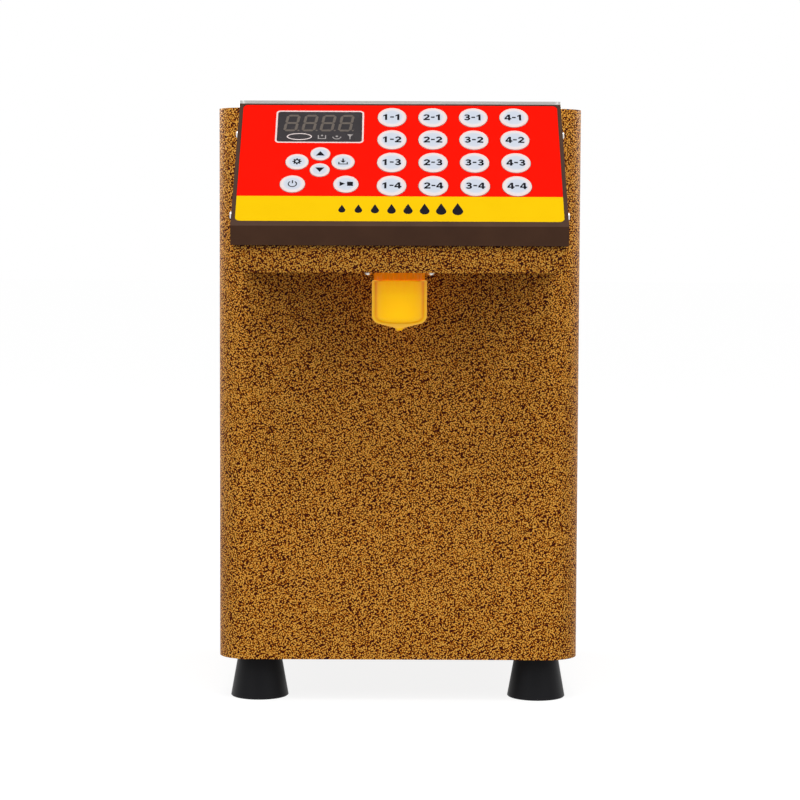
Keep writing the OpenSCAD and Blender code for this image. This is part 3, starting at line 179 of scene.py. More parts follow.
# Cells is highest in the middle of each cell, and noise makes them uneven.
hammer_cells, ends_in, ends_out = new_group(
    "hammer_cells", {"Size": CELL, "Unevenness": 0.3}, ["Cells"]
)
place = hammer_cells.nodes.new("ShaderNodeTexCoord")
turn = hammer_cells.nodes.new("ShaderNodeMapping")
turn.inputs["Rotation"].default_value = NOISE_TURN
cell = hammer_cells.nodes.new("ShaderNodeTexVoronoi")
cell.inputs["Randomness"].default_value = 0.8
hammer_cells.links.new(place.outputs["Object"], turn.inputs["Vector"])
hammer_cells.links.new(turn.outputs["Vector"], cell.inputs["Vector"])
hammer_cells.links.new(
    math_node(hammer_cells, "DIVIDE", 1.0, ends_in.outputs["Size"]), cell.inputs["Scale"]
)
drift = noise(hammer_cells, ends_in.outputs["Size"], detail=1)
hammer_cells.links.new(
    math_node(
        hammer_cells,
        "MULTIPLY_ADD",
        math_node(hammer_cells, "SUBTRACT", drift, 0.5),
        ends_in.outputs["Unevenness"],
        math_node(hammer_cells, "SUBTRACT", 1.0, cell.outputs["Distance"]),
    ),
    ends_out.inputs["Cells"],
)


def hammertone(name, painted_shade):
    """The gold paint, made darker as painted shade by a factor below 1."""
    material, tree, shader = new_material(
        name, Specular_IOR_Level=0.08, Coat_Weight=0.04, Coat_Roughness=0.1
    )
    cells = place_group(tree, hammer_cells).outputs["Cells"]
    stops = (
        (0.39, (0.045, 0.003, 0.000)),
        (0.46, (0.320, 0.062, 0.000)),
        (0.54, (0.860, 0.265, 0.006)),
        (0.70, (1.000, 0.560, 0.100)),
    )
    tree.links.new(
        ramp(tree, cells, *[(at, tuple(painted_shade * c for c in colour)) for at, colour in stops]),
        shader.inputs["Base Color"],
    )
    tree.links.new(ramp(tree, cells, (0.42, 0.0), (0.65, 0.18)), shader.inputs["Metallic"])
    tree.links.new(ramp(tree, cells, (0.40, 0.6), (0.60, 0.4)), shader.inputs["Roughness"])
    bump(tree, shader, ramp(tree, cells, (0.35, 0.0), (0.70, 1.0)), CELL_RISE)
    return material


HEAD_PAINTED_SHADE = 0.64  # a guessed amount of painted shade: the box under the key panel looks darker than the rest, and its paint is darkened in place of that shade
paint(hammertone("gold_hammertone", 1.0), "casing", "rear_panel", "base_plate")
# The head shell gets a darker copy of the paint as painted shade.
paint(hammertone("gold_hammertone_head_painted_shade", HEAD_PAINTED_SHADE), "head_shell")

# ------------------------------------------------------------------ feet
# Four tapered cones of black moulded rubber, each held by a screw from below.
# The rubber is dull, with a fine grain from its mould and a faint bloom.
BLOOM = 20 * MM  # the size of its clouds
moulded_grain, ends_in, ends_out = new_group(
    "moulded_grain", {"Size": 0.6 * MM}, ["Grain", "Bloom"]
)
moulded_grain.links.new(
    noise(moulded_grain, ends_in.outputs["Size"], detail=3, roughness=0.6),
    ends_out.inputs["Grain"],
)
moulded_grain.links.new(noise(moulded_grain, BLOOM, detail=4), ends_out.inputs["Bloom"])


def moulded(name, dark, light, gloss, grain, depth, **sockets):
    """Moulded plastic or rubber: grain from the mould and slight clouds."""
    material, tree, shader = new_material(name, **sockets)
    group = place_group(tree, moulded_grain, Size=grain)
    bloom = group.outputs["Bloom"]
    tree.links.new(ramp(tree, bloom, (0.3, dark), (0.7, light)), shader.inputs["Base Color"])
    tree.links.new(
        ramp(tree, bloom, (0.3, gloss[0]), (0.7, gloss[1])), shader.inputs["Roughness"]
    )
    bump(tree, shader, group.outputs["Grain"], depth)
    return material


foot_rubber = moulded(
    "foot_rubber",
    (0.0030, 0.0030, 0.0045),
    (0.0050, 0.0050, 0.0065),
    (0.42, 0.52),
    0.7 * MM,
    0.04 * MM,
    Specular_IOR_Level=0.16,
)
paint(foot_rubber, "rubber_feet")

# ------------------------------------------------------------------ tank, deck and lid
# The deck, the tank and the lid are bare stainless sheet, brushed from side
# to side. The lid hangs on two small hinges and lies on a silicone gasket.
BRUSH_LENGTH = 60  # times the width of a scratch
SMUDGE = 60 * MM
SCRATCH_DEPTH = 0.01 * MM
SCRATCH_SHADE = 0.72  # how dark a scratch is beside the bright metal
brushed_grain, ends_in, ends_out = new_group(
    "brushed_grain", {"Size": 0.5 * MM}, ["Grain", "Smudges"]
)
brushed_grain.links.new(
    noise(
        brushed_grain,
        ends_in.outputs["Size"],
        detail=4,
        roughness=0.7,
        stretch=(BRUSH_LENGTH, 1, 1),
    ),
    ends_out.inputs["Grain"],
)
brushed_grain.links.new(noise(brushed_grain, SMUDGE, detail=5), ends_out.inputs["Smudges"])


def brushed(name, colour, rough):
    """Brushed metal: long fine scratches, and slight smudges in the gloss."""
    material, tree, shader = new_material(name, Metallic=1.0)
    group = place_group(tree, brushed_grain)
    grain = group.outputs["Grain"]
    smudges = group.outputs["Smudges"]
    darker = tuple(SCRATCH_SHADE * c for c in colour)
    tree.links.new(ramp(tree, grain, (0.3, darker), (0.7, colour)), shader.inputs["Base Color"])
    tree.links.new(
        ramp(tree, smudges, (0.25, rough), (0.85, rough + 0.08)), shader.inputs["Roughness"]
    )
    bump(tree, shader, grain, SCRATCH_DEPTH)
    return material


stainless = brushed("stainless_brushed", (0.58, 0.57, 0.55), 0.28)
paint(stainless, "top_deck", "lid", "syrup_tank", "lid_hinges", "tank_outlet")
gasket_rubber = moulded(
    "gasket_silicone",
    (0.62, 0.61, 0.57),
    (0.72, 0.71, 0.68),
    (0.4, 0.5),
    1.5 * MM,
    0.02 * MM,
)
paint(gasket_rubber, "lid_gasket")
heater_rubber = moulded(
    "heater_silicone",
    (0.42, 0.10, 0.03),
    (0.50, 0.14, 0.05),
    (0.5, 0.6),
    2.0 * MM,
    0.1 * MM,
)
paint(heater_rubber, "tank_heater")

# ------------------------------------------------------------------ panel frame
# One moulding of brown plastic with a fine satin grain. Its plate carries the
# printed film, and its lip and skirts wrap the folded box below.
frame_plastic = moulded(
    "frame_plastic",
    (0.048, 0.019, 0.009),
    (0.060, 0.025, 0.012),
    (0.34, 0.42),
    0.45 * MM,
    0.012 * MM,
    Specular_IOR_Level=0.15,
)
paint(frame_plastic, "panel_frame")

# The panel's own axes, from the way its keys are pressed: across, up the
# slope and out of it. The origin is the middle of its front edge.
press = next(j for j in frame["joints"] if j["name"] == "key_1_1_press")
outward = -Vector(press["axis"])
up_slope = Vector((0, outward.z, -outward.y))
frame_low, frame_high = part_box("panel_frame")
panel_length = (frame_high.y - frame_low.y) / up_slope.y
panel_origin = Vector((0, frame_high.y, frame_high.z)) - up_slope * panel_length
panel_axes = Matrix(((1, 0, 0), up_slope, outward)).transposed().to_4x4()
panel = Matrix.Translation(panel_origin) @ panel_axes


def on_panel(name):
    """The lowest and highest corners of a CAD node, along the panel's own axes."""
    to_panel = panel.inverted()
    points = [to_panel @ v.co for v in nodes[name].data.vertices]
    low = Vector([min(p[i] for p in points) for i in range(3)])
    high = Vector([max(p[i] for p in points) for i in range(3)])
    return low, high


# ------------------------------------------------------------------ printed film
# A polyester film, red above and yellow below, printed on its underside and
# glued in the frame's recess. Its face has a very fine velvet texture.
def printed_film(name, colour):
    """The film's finish over one printed colour."""
    lighter = tuple(1.03 * c for c in colour)
    return moulded(
        name, colour, lighter, (0.34, 0.40), 0.25 * MM, 0.003 * MM, Specular_IOR_Level=0.03
    )


film_red = printed_film("film_red", (0.930, 0.0055, 0.0004))
film_yellow = printed_film("film_yellow", (0.860, 0.530, 0.0010))
paint(film_red, "panel_film")
paint(film_yellow, "title_strip")
film_top = on_panel("panel_film")[1].z

# Marks are drawn as closed outlines in millimetres, and filled. An outline
# inside another one cuts a hole.
INK_THICK = 0.03 * MM
INK_STEPS = (4 * MM, 2 * MM, 1 * MM)  # longer edges are halved, to follow a key's crown


def arc(x, y, r, start, end, r_y=None, steps=24):
    """Points along an arc or a part of an ellipse, the angles in degrees."""
    turns = [math.radians(start + (end - start) * i / steps) for i in range(steps + 1)]
    return [(x + r * math.cos(t), y + (r_y or r) * math.sin(t)) for t in turns]


def circle(x, y, r, r_y=None, steps=40):
    """A circle, or an ellipse where r_y is given."""
    return arc(x, y, r, 0, 360, r_y, steps)[:-1]


def rectangle(x0, y0, x1, y1):
    """A rectangle between two opposite corners."""
    return [(x0, y0), (x1, y0), (x1, y1), (x0, y1)]


def arc_band(x, y, r_in, r_out, start, end):
    """A stretch of a ring."""
    return arc(x, y, r_out, start, end) + arc(x, y, r_in, end, start)


def round_rectangle(half_w, half_h, r):
    """A rectangle about the origin with round corners."""
    x = half_w - r
    y = half_h - r
    return (
        arc(x, y, r, 0, 90, steps=8)
        + arc(-x, y, r, 90, 180, steps=8)
        + arc(-x, -y, r, 180, 270, steps=8)
        + arc(x, -y, r, 270, 360, steps=8)
    )


def shifted(outline, x, y=0.0, slant=0.0):
    """An outline moved by x and y, and slanted to the right."""
    return [(px + x + py * slant, py + y) for px, py in outline]


def filled(name, outlines):
    """A thin filled mesh from outlines in millimetres, in small triangles."""
    curve = bpy.data.curves.new(name, "CURVE")
    curve.dimensions = "2D"
    curve.fill_mode = "BOTH"
    curve.extrude = INK_THICK / 2
    for outline in outlines:
        spline = curve.splines.new("POLY")
        spline.points.add(len(outline) - 1)
        for point, (x, y) in zip(spline.points, outline):
            point.co = (x * MM, y * MM, 0, 1)
        spline.use_cyclic_u = True
    draft = bpy.data.objects.new(name + "_draft", curve)
    scene.collection.objects.link(draft)
    bpy.context.view_layer.update()
    mesh = bpy.data.meshes.new_from_object(
        draft.evaluated_get(bpy.context.evaluated_depsgraph_get())
    )
    bpy.data.objects.remove(draft)
    mesh.name = name
    build = bmesh.new()
    build.from_mesh(mesh)
    for step in INK_STEPS:
        bmesh.ops.triangulate(build, faces=build.faces)
        long_edges = [e for e in build.edges if e.calc_length() > step]
        bmesh.ops.subdivide_edges(build, edges=long_edges, cuts=1)
    bmesh.ops.triangulate(build, faces=build.faces)
    build.to_mesh(mesh)
    build.free()
    return mesh


def new_piece(name, mesh, material, body):
    """Puts a mesh that is already in the part's own frame on its body."""
    piece = bpy.data.objects.new(name, mesh)
    scene.collection.objects.link(piece)
    mesh.materials.clear()
    mesh.materials.append(material)
    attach(piece, body)
    return piece


def print_mark(name, outlines, place, material, body, crown=None):
    """Prints a mark on the panel at place, or over the crown of a key there."""
    mesh = filled(name, outlines)
    for v in mesh.vertices:
        rise = crown(v.co.to_2d().length) if crown else 0
        v.co += Vector((place[0], place[1], place[2] + INK_THICK / 2 + rise))
    mesh.transform(panel)
    return new_piece(name, mesh, material, body)


def ink(name, colour, gloss=0.38):
    """Screen-printed ink, slightly uneven; a lower gloss value is shinier."""
    material, tree, shader = new_material(name, Specular_IOR_Level=0.05)
    uneven = noise(tree, 1.2 * MM, detail=3)
    lighter = tuple(min(1.0, c * 1.15 + 0.002) for c in colour)
    tree.links.new(
        ramp(tree, uneven, (0.35, colour), (0.65, lighter)), shader.inputs["Base Color"]
    )
    tree.links.new(
        ramp(tree, uneven, (0.35, gloss), (0.65, gloss + 0.08)), shader.inputs["Roughness"]
    )
    return material


# The yellow strip carries a plain row of drops that grow from left to right,
# for portions from small to large.
DROP_COUNT = 8
DROP_PITCH = 11.2
DROP_RADII = (2.4, 3.7)

ink_dark = ink("ink_dark", (0.003, 0.0025, 0.006))
strip_low, strip_high = on_panel("title_strip")
drops = []
for i in range(DROP_COUNT):
    share = i / (DROP_COUNT - 1)
    r = DROP_RADII[0] + (DROP_RADII[1] - DROP_RADII[0]) * share
    x = (share - 0.5) * (DROP_COUNT - 1) * DROP_PITCH
    drops.append(arc(x, -0.65 * r, r, 150, 390) + [(x, 1.65 * r)])
strip_middle = (strip_low + strip_high) / 2
print_mark(
    "title_drops",
    drops,
    (0, strip_middle.y, film_top),
    ink_dark,
    "cabinet",
)

# ------------------------------------------------------------------ display
# A smoked window, flush with the film, in a pale printed line. Four unlit
# digits show faintly in it, over an oval and three signs.
window_plastic, tree, shader = new_material(
    "window_smoked", Specular_IOR_Level=0.2, Coat_Weight=0.06, Coat_Roughness=0.08
)
clouds = noise(tree, 20 * MM, detail=2)
tree.links.new(
    ramp(tree, clouds, (0.3, (0.015, 0.012, 0.014)), (0.7, (0.024, 0.019, 0.021))),
    shader.inputs["Base Color"],
)
tree.links.new(ramp(tree, clouds, (0.3, 0.22), (0.7, 0.30)), shader.inputs["Roughness"])
paint(window_plastic, "display_window")

window_low, window_high = on_panel("display_window")
window_place = (
    (window_low.x + window_high.x) / 2,
    (window_low.y + window_high.y) / 2,
    window_high.z,
)
half_w = (window_high.x - window_low.x) / 2 / MM
half_h = (window_high.y - window_low.y) / 2 / MM
LINE_WIDTH = 1.15
LINE_OUT = 1.3  # from the window's edge to the line's outer edge
LINE_ROUND = (2.8, 1.8)  # its outer and inner corner radius
line_in = LINE_OUT - LINE_WIDTH
ink_line = ink("ink_line", (0.72, 0.62, 0.60))
print_mark(
    "window_line",
    [
        round_rectangle(half_w + LINE_OUT, half_h + LINE_OUT, LINE_ROUND[0]),
        round_rectangle(half_w + line_in, half_h + line_in, LINE_ROUND[1]),
    ],
    (window_place[0], window_place[1], film_top),
    ink_line,
    "cabinet",
)

# The digits are 0.56 inch ones, 12.7 mm apart, slanted by 8 degrees.
DIGIT_COUNT = 4
DIGIT_PITCH = 12.7
DIGIT_HALF_W = 3.9
DIGIT_HALF_H = 7.9
DIGIT_SLANT = math.tan(math.radians(8))
DIGITS_X = -0.6
DIGITS_Y = 3.9
BAR = 1.9
BAR_GAP = 0.15
POINT_X = 2.0  # from the digit's right bar to the decimal point
POINT_R = 0.75


def bar(x0, y0, x1, y1):
    """One bar of a digit, pointed at both ends."""
    along = Vector((x1 - x0, y1 - y0)).normalized()
    side = Vector((-along.y, along.x)) * BAR / 2
    tip = along * BAR / 2
    a = Vector((x0, y0)) + along * BAR_GAP
    b = Vector((x1, y1)) - along * BAR_GAP
    return [a, a + tip + side, b - tip + side, b, b - tip - side, a + tip - side]


w, h = DIGIT_HALF_W, DIGIT_HALF_H
digit = [
    bar(-w, h, w, h),
    bar(-w, 0, w, 0),
    bar(-w, -h, w, -h),
    bar(-w, 0, -w, h),
    bar(w, 0, w, h),
    bar(-w, -h, -w, 0),
    bar(w, -h, w, 0),
    circle(w + POINT_X, -h, POINT_R, steps=16),
]
ink_unlit = ink("digits_unlit", (0.125, 0.104, 0.088), 0.3)
print_mark(
    "display_digits",
    [
        shifted(
            part,
            DIGITS_X + (i - (DIGIT_COUNT - 1) / 2) * DIGIT_PITCH,
            DIGITS_Y,
            DIGIT_SLANT,
        )
        for i in range(DIGIT_COUNT)
        for part in digit
    ],
    window_place,
    ink_unlit,
    "cabinet",
)

# Below them: an oval, a tray with a drop, a dial and a glass.
SIGNS_Y = -10.6
OVAL_X = -14.0
OVAL_OUT = (8.8, 3.6)  # half its width and half its height
OVAL_LINE = 0.8
TRAY_X = 1.8
DIAL_X = 12.2
GLASS_X = 21.4
ink_pale = ink("ink_pale", (0.34, 0.31, 0.30))
print_mark(
    "window_oval",
    [
        circle(OVAL_X, SIGNS_Y, OVAL_OUT[0], OVAL_OUT[1], 64),
        circle(OVAL_X, SIGNS_Y, OVAL_OUT[0] - OVAL_LINE, OVAL_OUT[1] - OVAL_LINE, 64),
    ],
    window_place,
    ink_line,
    "cabinet",
)
tray = [
    (-2.9, 1.6),
    (-2.9, -2.4),
    (2.9, -2.4),
    (2.9, 1.6),
    (2.2, 1.6),
    (2.2, -1.7),
    (-2.2, -1.7),
    (-2.2, 1.6),
]
glass = [(-2.0, 2.6), (-0.35, 0), (-0.35, -2.6), (0.35, -2.6), (0.35, 0), (2.0, 2.6)]
print_mark(
    "window_signs",
    [
        shifted(tray, TRAY_X, SIGNS_Y),
        circle(TRAY_X, SIGNS_Y + 1.2, 0.8, steps=16),
        arc_band(DIAL_X, SIGNS_Y + 0.4, 2.5, 3.2, 190, 350),
        circle(DIAL_X, SIGNS_Y + 0.4, 0.9, steps=16),
        shifted(glass, GLASS_X, SIGNS_Y),
    ],
    window_place,
    ink_pale,
    "cabinet",
)

# ------------------------------------------------------------------ keys
# Round pads, embossed in the film with a slight crown. Each is printed white,
# pale blue in the middle, and carries its number or its sign in dark ink.
KEY_CROWN = 0.24 * MM
KEY_ROUND = 0.20 * MM  # the rounding of its edge
KEY_CUT = 0.3 * KEY_ROUND  # what the rounding takes off at its middle
KEY_STEPS = 56
CROWN_RINGS = (0.86, 0.7, 0.55, 0.4, 0.25, 0.1)  # shares of the crown's radius
PAD_THICK = 0.7 * MM
PLUNGER_R = 1.7 * MM
SHARP_EDGE = math.radians(40)

key_print, tree, shader = new_material(
    "key_print", Specular_IOR_Level=0.15, Coat_Weight=0.06, Coat_Roughness=0.2
)
radial = tree.nodes.new("ShaderNodeAttribute")
radial.attribute_name = "rim_share"
mottle = noise(tree, 4 * MM, detail=3)
share = math_node(
    tree,
    "MULTIPLY_ADD",
    math_node(tree, "SUBTRACT", mottle, 0.5),
    0.1,
    radial.outputs["Fac"],
)
tree.links.new(
    ramp(
        tree,
        share,
        (0.0, (0.550, 0.600, 0.690)),
        (0.62, (0.580, 0.620, 0.700)),
        (0.80, (0.760, 0.690, 0.700)),
        (0.92, (0.790, 0.630, 0.590)),
    ),
    shader.inputs["Base Color"],
)
tree.links.new(ramp(tree, mottle, (0.3, 0.34), (0.7, 0.42)), shader.inputs["Roughness"])


def crown_height(r, radius):
    """Height of a key's crown at a distance from its middle."""
    return KEY_CROWN * (1 - min(1, r / (radius - KEY_ROUND)) ** 2)


def key_cap(name, radius, top, plunger_end):
    """A revolved pad with a crowned top and a plunger below, about local Z."""
    profile = [
        (PLUNGER_R, plunger_end),
        (PLUNGER_R, top - PAD_THICK),
        (radius, top - PAD_THICK),
        (radius, top - KEY_ROUND),
        (radius - KEY_CUT, top - KEY_CUT),
        (radius - KEY_ROUND, top),
    ]
    for share in CROWN_RINGS:
        r = (radius - KEY_ROUND) * share
        profile.append((r, top + crown_height(r, radius)))
    build = bmesh.new()
    rim_share = build.verts.layers.float.new("rim_share")
    loops = []
    for r, z in profile:
        loop = []
        for i in range(KEY_STEPS):
            turn = 2 * math.pi * i / KEY_STEPS
            vertex = build.verts.new((r * math.cos(turn), r * math.sin(turn), z))
            vertex[rim_share] = r / radius
            loop.append(vertex)
        loops.append(loop)
    for lower, upper in zip(loops, loops[1:]):
        for i in range(KEY_STEPS):
            j = (i + 1) % KEY_STEPS
            build.faces.new((lower[i], lower[j], upper[j], upper[i]))
    build.faces.new(loops[0][::-1])
    build.faces.new(loops[-1])
    for face in build.faces:
        face.smooth = True
    mesh = bpy.data.meshes.new(name)
    build.to_mesh(mesh)
    build.free()
    mesh.set_sharp_from_angle(angle=SHARP_EDGE)
    return mesh


# Numerals in a plain square style, one unit high from their lower left
# corner. Each is a list of filled outlines.
one = [
    [
        (0.47, 0),
        (0.47, 1),
        (0.31, 1),
        (0.20, 0.89),
        (0.03, 0.80),
        (0.03, 0.61),
        (0.14, 0.65),
        (0.23, 0.71),
        (0.23, 0),
    ]
]
two = [
    arc(0.34, 0.68, 0.34, 172, -38, 0.32)
    + [(0.33, 0.21), (0.69, 0.21), (0.69, 0), (-0.01, 0), (-0.01, 0.14)]
    + arc(0.34, 0.68, 0.11, -42, 172, 0.11)
]
three = [
    arc(0.33, 0.735, 0.31, 165, -50, 0.275)
    + arc(0.33, 0.29, 0.34, 50, -165, 0.30)
    + arc(0.33, 0.29, 0.11, -165, 80, 0.10)
    + [(0.19, 0.40), (0.19, 0.60)]
    + arc(0.33, 0.735, 0.09, -80, 165, 0.08)
]
four = [
    [
        (0.37, 0),
        (0.37, 0.19),
        (-0.02, 0.19),
        (-0.02, 0.39),
        (0.36, 1),
        (0.60, 1),
        (0.60, 0.39),
        (0.73, 0.39),
        (0.73, 0.19),
        (0.60, 0.19),
        (0.60, 0),
    ],
    [(0.37, 0.39), (0.37, 0.70), (0.18, 0.39)],
]
NUMERALS = {"1": one, "2": two, "3": three, "4": four}
NUMERAL_H = 6.3
NUMERAL_W = 6.4  # the width of one unit: the numerals are wide
NUMERAL_MIDDLE = 0.34  # of a numeral, in its own units across
NUMERAL_X = 4.3  # from the key's middle to the middle of a numeral
HYPHEN = (1.3, 0.65)  # half its length and half its height


def number_mark(column, row):
    """Outlines of a key's number: its column, a hyphen and its row."""
    outlines = [rectangle(-HYPHEN[0], -HYPHEN[1], *HYPHEN)]
    for middle, numeral in ((-NUMERAL_X, column), (NUMERAL_X, row)):
        for outline in NUMERALS[numeral]:
            outlines.append(
                [
                    (middle + (x - NUMERAL_MIDDLE) * NUMERAL_W, (y - 0.5) * NUMERAL_H)
                    for x, y in outline
                ]
            )
    return outlines


# The control keys' signs: a gear for settings, an arrow into a tray to save,
# a broken ring for power, and a triangle with a square to run and stop.
GEAR_TEETH = 8
GEAR_TOOTH = ((-15, 2.3), (-9, 3.2), (9, 3.2), (15, 2.3))  # degrees, millimetres
gear = []
for i in range(GEAR_TEETH):
    for offset, r in GEAR_TOOTH:
        turn = math.radians(360 / GEAR_TEETH * i + offset)
        gear.append((r * math.cos(turn), r * math.sin(turn)))
arrow_in = [
    (-0.55, 3.2),
    (-0.55, 0.9),
    (-1.9, 0.9),
    (0, -1.3),
    (1.9, 0.9),
    (0.55, 0.9),
    (0.55, 3.2),
]
open_tray = [
    (-3.3, -0.4),
    (-3.3, -2.9),
    (3.3, -2.9),
    (3.3, -0.4),
    (2.5, -0.4),
    (2.5, -2.1),
    (-2.5, -2.1),
    (-2.5, -0.4),
]
SIGNS = {
    "key_up": [[(-3.1, -2.2), (3.1, -2.2), (0, 2.4)]],
    "key_down": [[(-3.1, 2.2), (3.1, 2.2), (0, -2.4)]],
    "key_set": [gear, circle(0, 0, 1.1, steps=24)],
    "key_save": [arrow_in, open_tray],
    "key_power": [arc_band(0, -0.3, 2.4, 3.2, 125, 415), rectangle(-0.4, 0.2, 0.4, 3.4)],
    "key_stop": [[(-4.3, -2.3), (-4.3, 2.3), (-0.6, 0)], rectangle(0.8, -2.1, 4.8, 2.1)],
}

for name in [n for n in nodes if n.startswith("key_") and n != "key_switches"]:
    low, high = on_panel(name)
    middle = (low + high) / 2
    radius = (high.x - low.x) / 2
    top = high.z - KEY_CROWN / 2
    mesh = key_cap(name + "_cap", radius, top, low.z)
    mesh.transform(panel @ Matrix.Translation((middle.x, middle.y, 0)))
    cap = new_piece(name + "_cap", mesh, key_print, name)
    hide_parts(name)
    mark = SIGNS[name] if name in SIGNS else number_mark(name[4], name[6])
    print_mark(
        name + "_mark",
        mark,
        (middle.x, middle.y, top),
        ink_dark,
        name,
        crown=lambda r: crown_height(r, radius),
    )

# ------------------------------------------------------------------ nozzle
# A ribbed amber collar, screwed up into the folded box, and a drip cup of
# clear yellow plastic that is pushed on it and comes off for cleaning.
FLOW = 3 * MM  # the width of a flow line
FLOW_LENGTH = 7  # times its width
FLOW_RISE = 0.02 * MM


def clear_moulding(name, gloss, **sockets):
    """Coloured see-through plastic; also gives the mask of its flow lines."""
    material, tree, shader = new_material(name, **sockets)
    flow = noise(tree, FLOW, detail=3, stretch=(1, 1, FLOW_LENGTH))
    tree.links.new(
        ramp(tree, flow, (0.3, gloss), (0.7, gloss + 0.08)), shader.inputs["Roughness"]
    )
    bump(tree, shader, flow, FLOW_RISE)
    return material, tree, shader, flow


# The collar's emission is a painted glow: it brightens the amber, which lies in the head's
# shadow.
collar_plastic, tree, shader, flow = clear_moulding(
    "collar_amber",
    0.20,
    Subsurface_Weight=0.4,
    Subsurface_Scale=0.004,
    Subsurface_Radius=(1, 1, 1),
    Specular_IOR_Level=0.12,
    Emission_Color=(1.0, 0.26, 0.0, 1),
    Emission_Strength=0.3,
)
tree.links.new(
    ramp(tree, flow, (0.3, (0.78, 0.22, 0.001)), (0.7, (1.00, 0.40, 0.003))),
    shader.inputs["Base Color"],
)
paint(collar_plastic, "nozzle_collar")

# The collar's spigot shows through the cup's upper wall and turns it orange.
# Its emission is a painted glow that stands in for light, and its colour follows the view: a
# darker amber band along the wall and a painted pale highlight at the outer edge.
SPIGOT_REACH = 14 * MM
FLOW_WAVER = 0.3  # how far the flow lines shift the colours, of that reach
cup_plastic, tree, shader, flow = clear_moulding(
    "cup_yellow",
    0.12,
    Subsurface_Weight=0.4,
    Subsurface_Scale=0.006,
    Subsurface_Radius=(1, 1, 1),
    Specular_IOR_Level=0.15,
    Emission_Strength=0.5,
)
place = tree.nodes.new("ShaderNodeTexCoord")
parts = tree.nodes.new("ShaderNodeSeparateXYZ")
tree.links.new(place.outputs["Object"], parts.inputs["Vector"])
cup_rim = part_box("nozzle_cup")[1].z
below_rim = math_node(tree, "SUBTRACT", cup_rim, parts.outputs["Z"])
depth = math_node(tree, "DIVIDE", below_rim, SPIGOT_REACH)
tree.links.new(
    ramp(
        tree,
        math_node(tree, "MULTIPLY_ADD", flow, FLOW_WAVER, depth),
        (0.15, (0.86, 0.26, 0.001)),
        (0.45, (1.00, 0.46, 0.001)),
        (0.90, (1.00, 0.62, 0.002)),
    ),
    shader.inputs["Base Color"],
)
# Painted glow: the emission colour, with its painted rim highlight, is set by the view angle.
painted_glow_facing = tree.nodes.new("ShaderNodeLayerWeight")
painted_glow_facing.inputs["Blend"].default_value = 0.5
tree.links.new(
    ramp(
        tree,
        painted_glow_facing.outputs["Facing"],
        (0.00, (1.0, 0.60, 0.0)),
        (0.35, (1.0, 0.54, 0.0)),
        (0.50, (0.45, 0.13, 0.0)),
        (0.60, (1.0, 0.58, 0.03)),
        (1.00, (1.0, 0.66, 0.12)),
    ),
    shader.inputs["Emission Color"],
)
paint(cup_plastic, "nozzle_cup")

# ------------------------------------------------------------------ screws
# Zinc-plated pan-head screws and nuts, with small scuffs where a driver has
# slipped. The hose clamps are bent from the same plated strip.
screw_zinc, tree, shader = new_material("screw_zinc", Metallic=1.0)
scuffs = noise(tree, 0.8 * MM, detail=5)
tree.links.new(
    ramp(tree, scuffs, (0.35, (0.66, 0.65, 0.62)), (0.65, (0.86, 0.85, 0.82))),
    shader.inputs["Base Color"],
)
tree.links.new(ramp(tree, scuffs, (0.35, 0.22), (0.65, 0.40)), shader.inputs["Roughness"])
bump(tree, shader, scuffs, 0.02 * MM)
paint(screw_zinc, "m3_fasteners", "m4_fasteners", "hose_clamps")

# ------------------------------------------------------------------ rear fittings
# The rocker switch snaps into the rear panel, and the mains inlet is screwed
# to it. Both are black nylon. The rocker is red, with a plain bar and ring.
fitting_plastic = moulded(
    "fitting_black",
    (0.012, 0.012, 0.013),
    (0.018, 0.018, 0.019),
    (0.36, 0.46),
    0.5 * MM,
    0.02 * MM,
)
paint(fitting_plastic, "power_switch", "mains_inlet")
rocker_plastic = moulded(
    "rocker_red",
    (0.42, 0.006, 0.004),
    (0.52, 0.010, 0.006),
    (0.22, 0.30),
    1.0 * MM,
    0.01 * MM,
)
paint(rocker_plastic, "power_rocker")

# Its two flat faces meet in a shallow V. At rest it is off: the upper half
# stands out and its face leans down. That face carries the bar, for on, and the
# lower one the ring, for off, both in white ink.
FACE_AREA = 20 * MM * MM
LEAN = 0.17  # between the downward parts of the two faces' normals
ink_white = ink("ink_white", (0.70, 0.69, 0.67))
rocker_faces = [
    (face.area, face.center.copy(), face.normal.copy())
    for face in nodes["power_rocker"].data.polygons
    if face.area > FACE_AREA and face.normal.y > 0.9
]
ROCKER_BAR = rectangle(-0.45, -1.5, 0.45, 1.5)
ROCKER_RING = (1.6, 1.0)  # its outer and inner radius
rocker_marks = [
    ("rocker_bar", True, [ROCKER_BAR]),
    ("rocker_ring", False, [circle(0, 0, r) for r in ROCKER_RING]),
]
for name, leans, outlines in rocker_marks:
    faces = [face for face in rocker_faces if (face[2].z < -LEAN) == leans]
    whole = sum(area for area, _, _ in faces)
    middle = sum((center * area for area, center, _ in faces), Vector()) / whole
    normal = faces[0][2]
    across = Vector((-1, 0, 0))
    axes = Matrix((across, normal.cross(across), normal)).transposed().to_4x4()
    mesh = filled(name, outlines)
    lift = Matrix.Translation(middle + normal * INK_THICK / 2)
    mesh.transform(lift @ axes)
    new_piece(name, mesh, ink_white, "power_rocker")

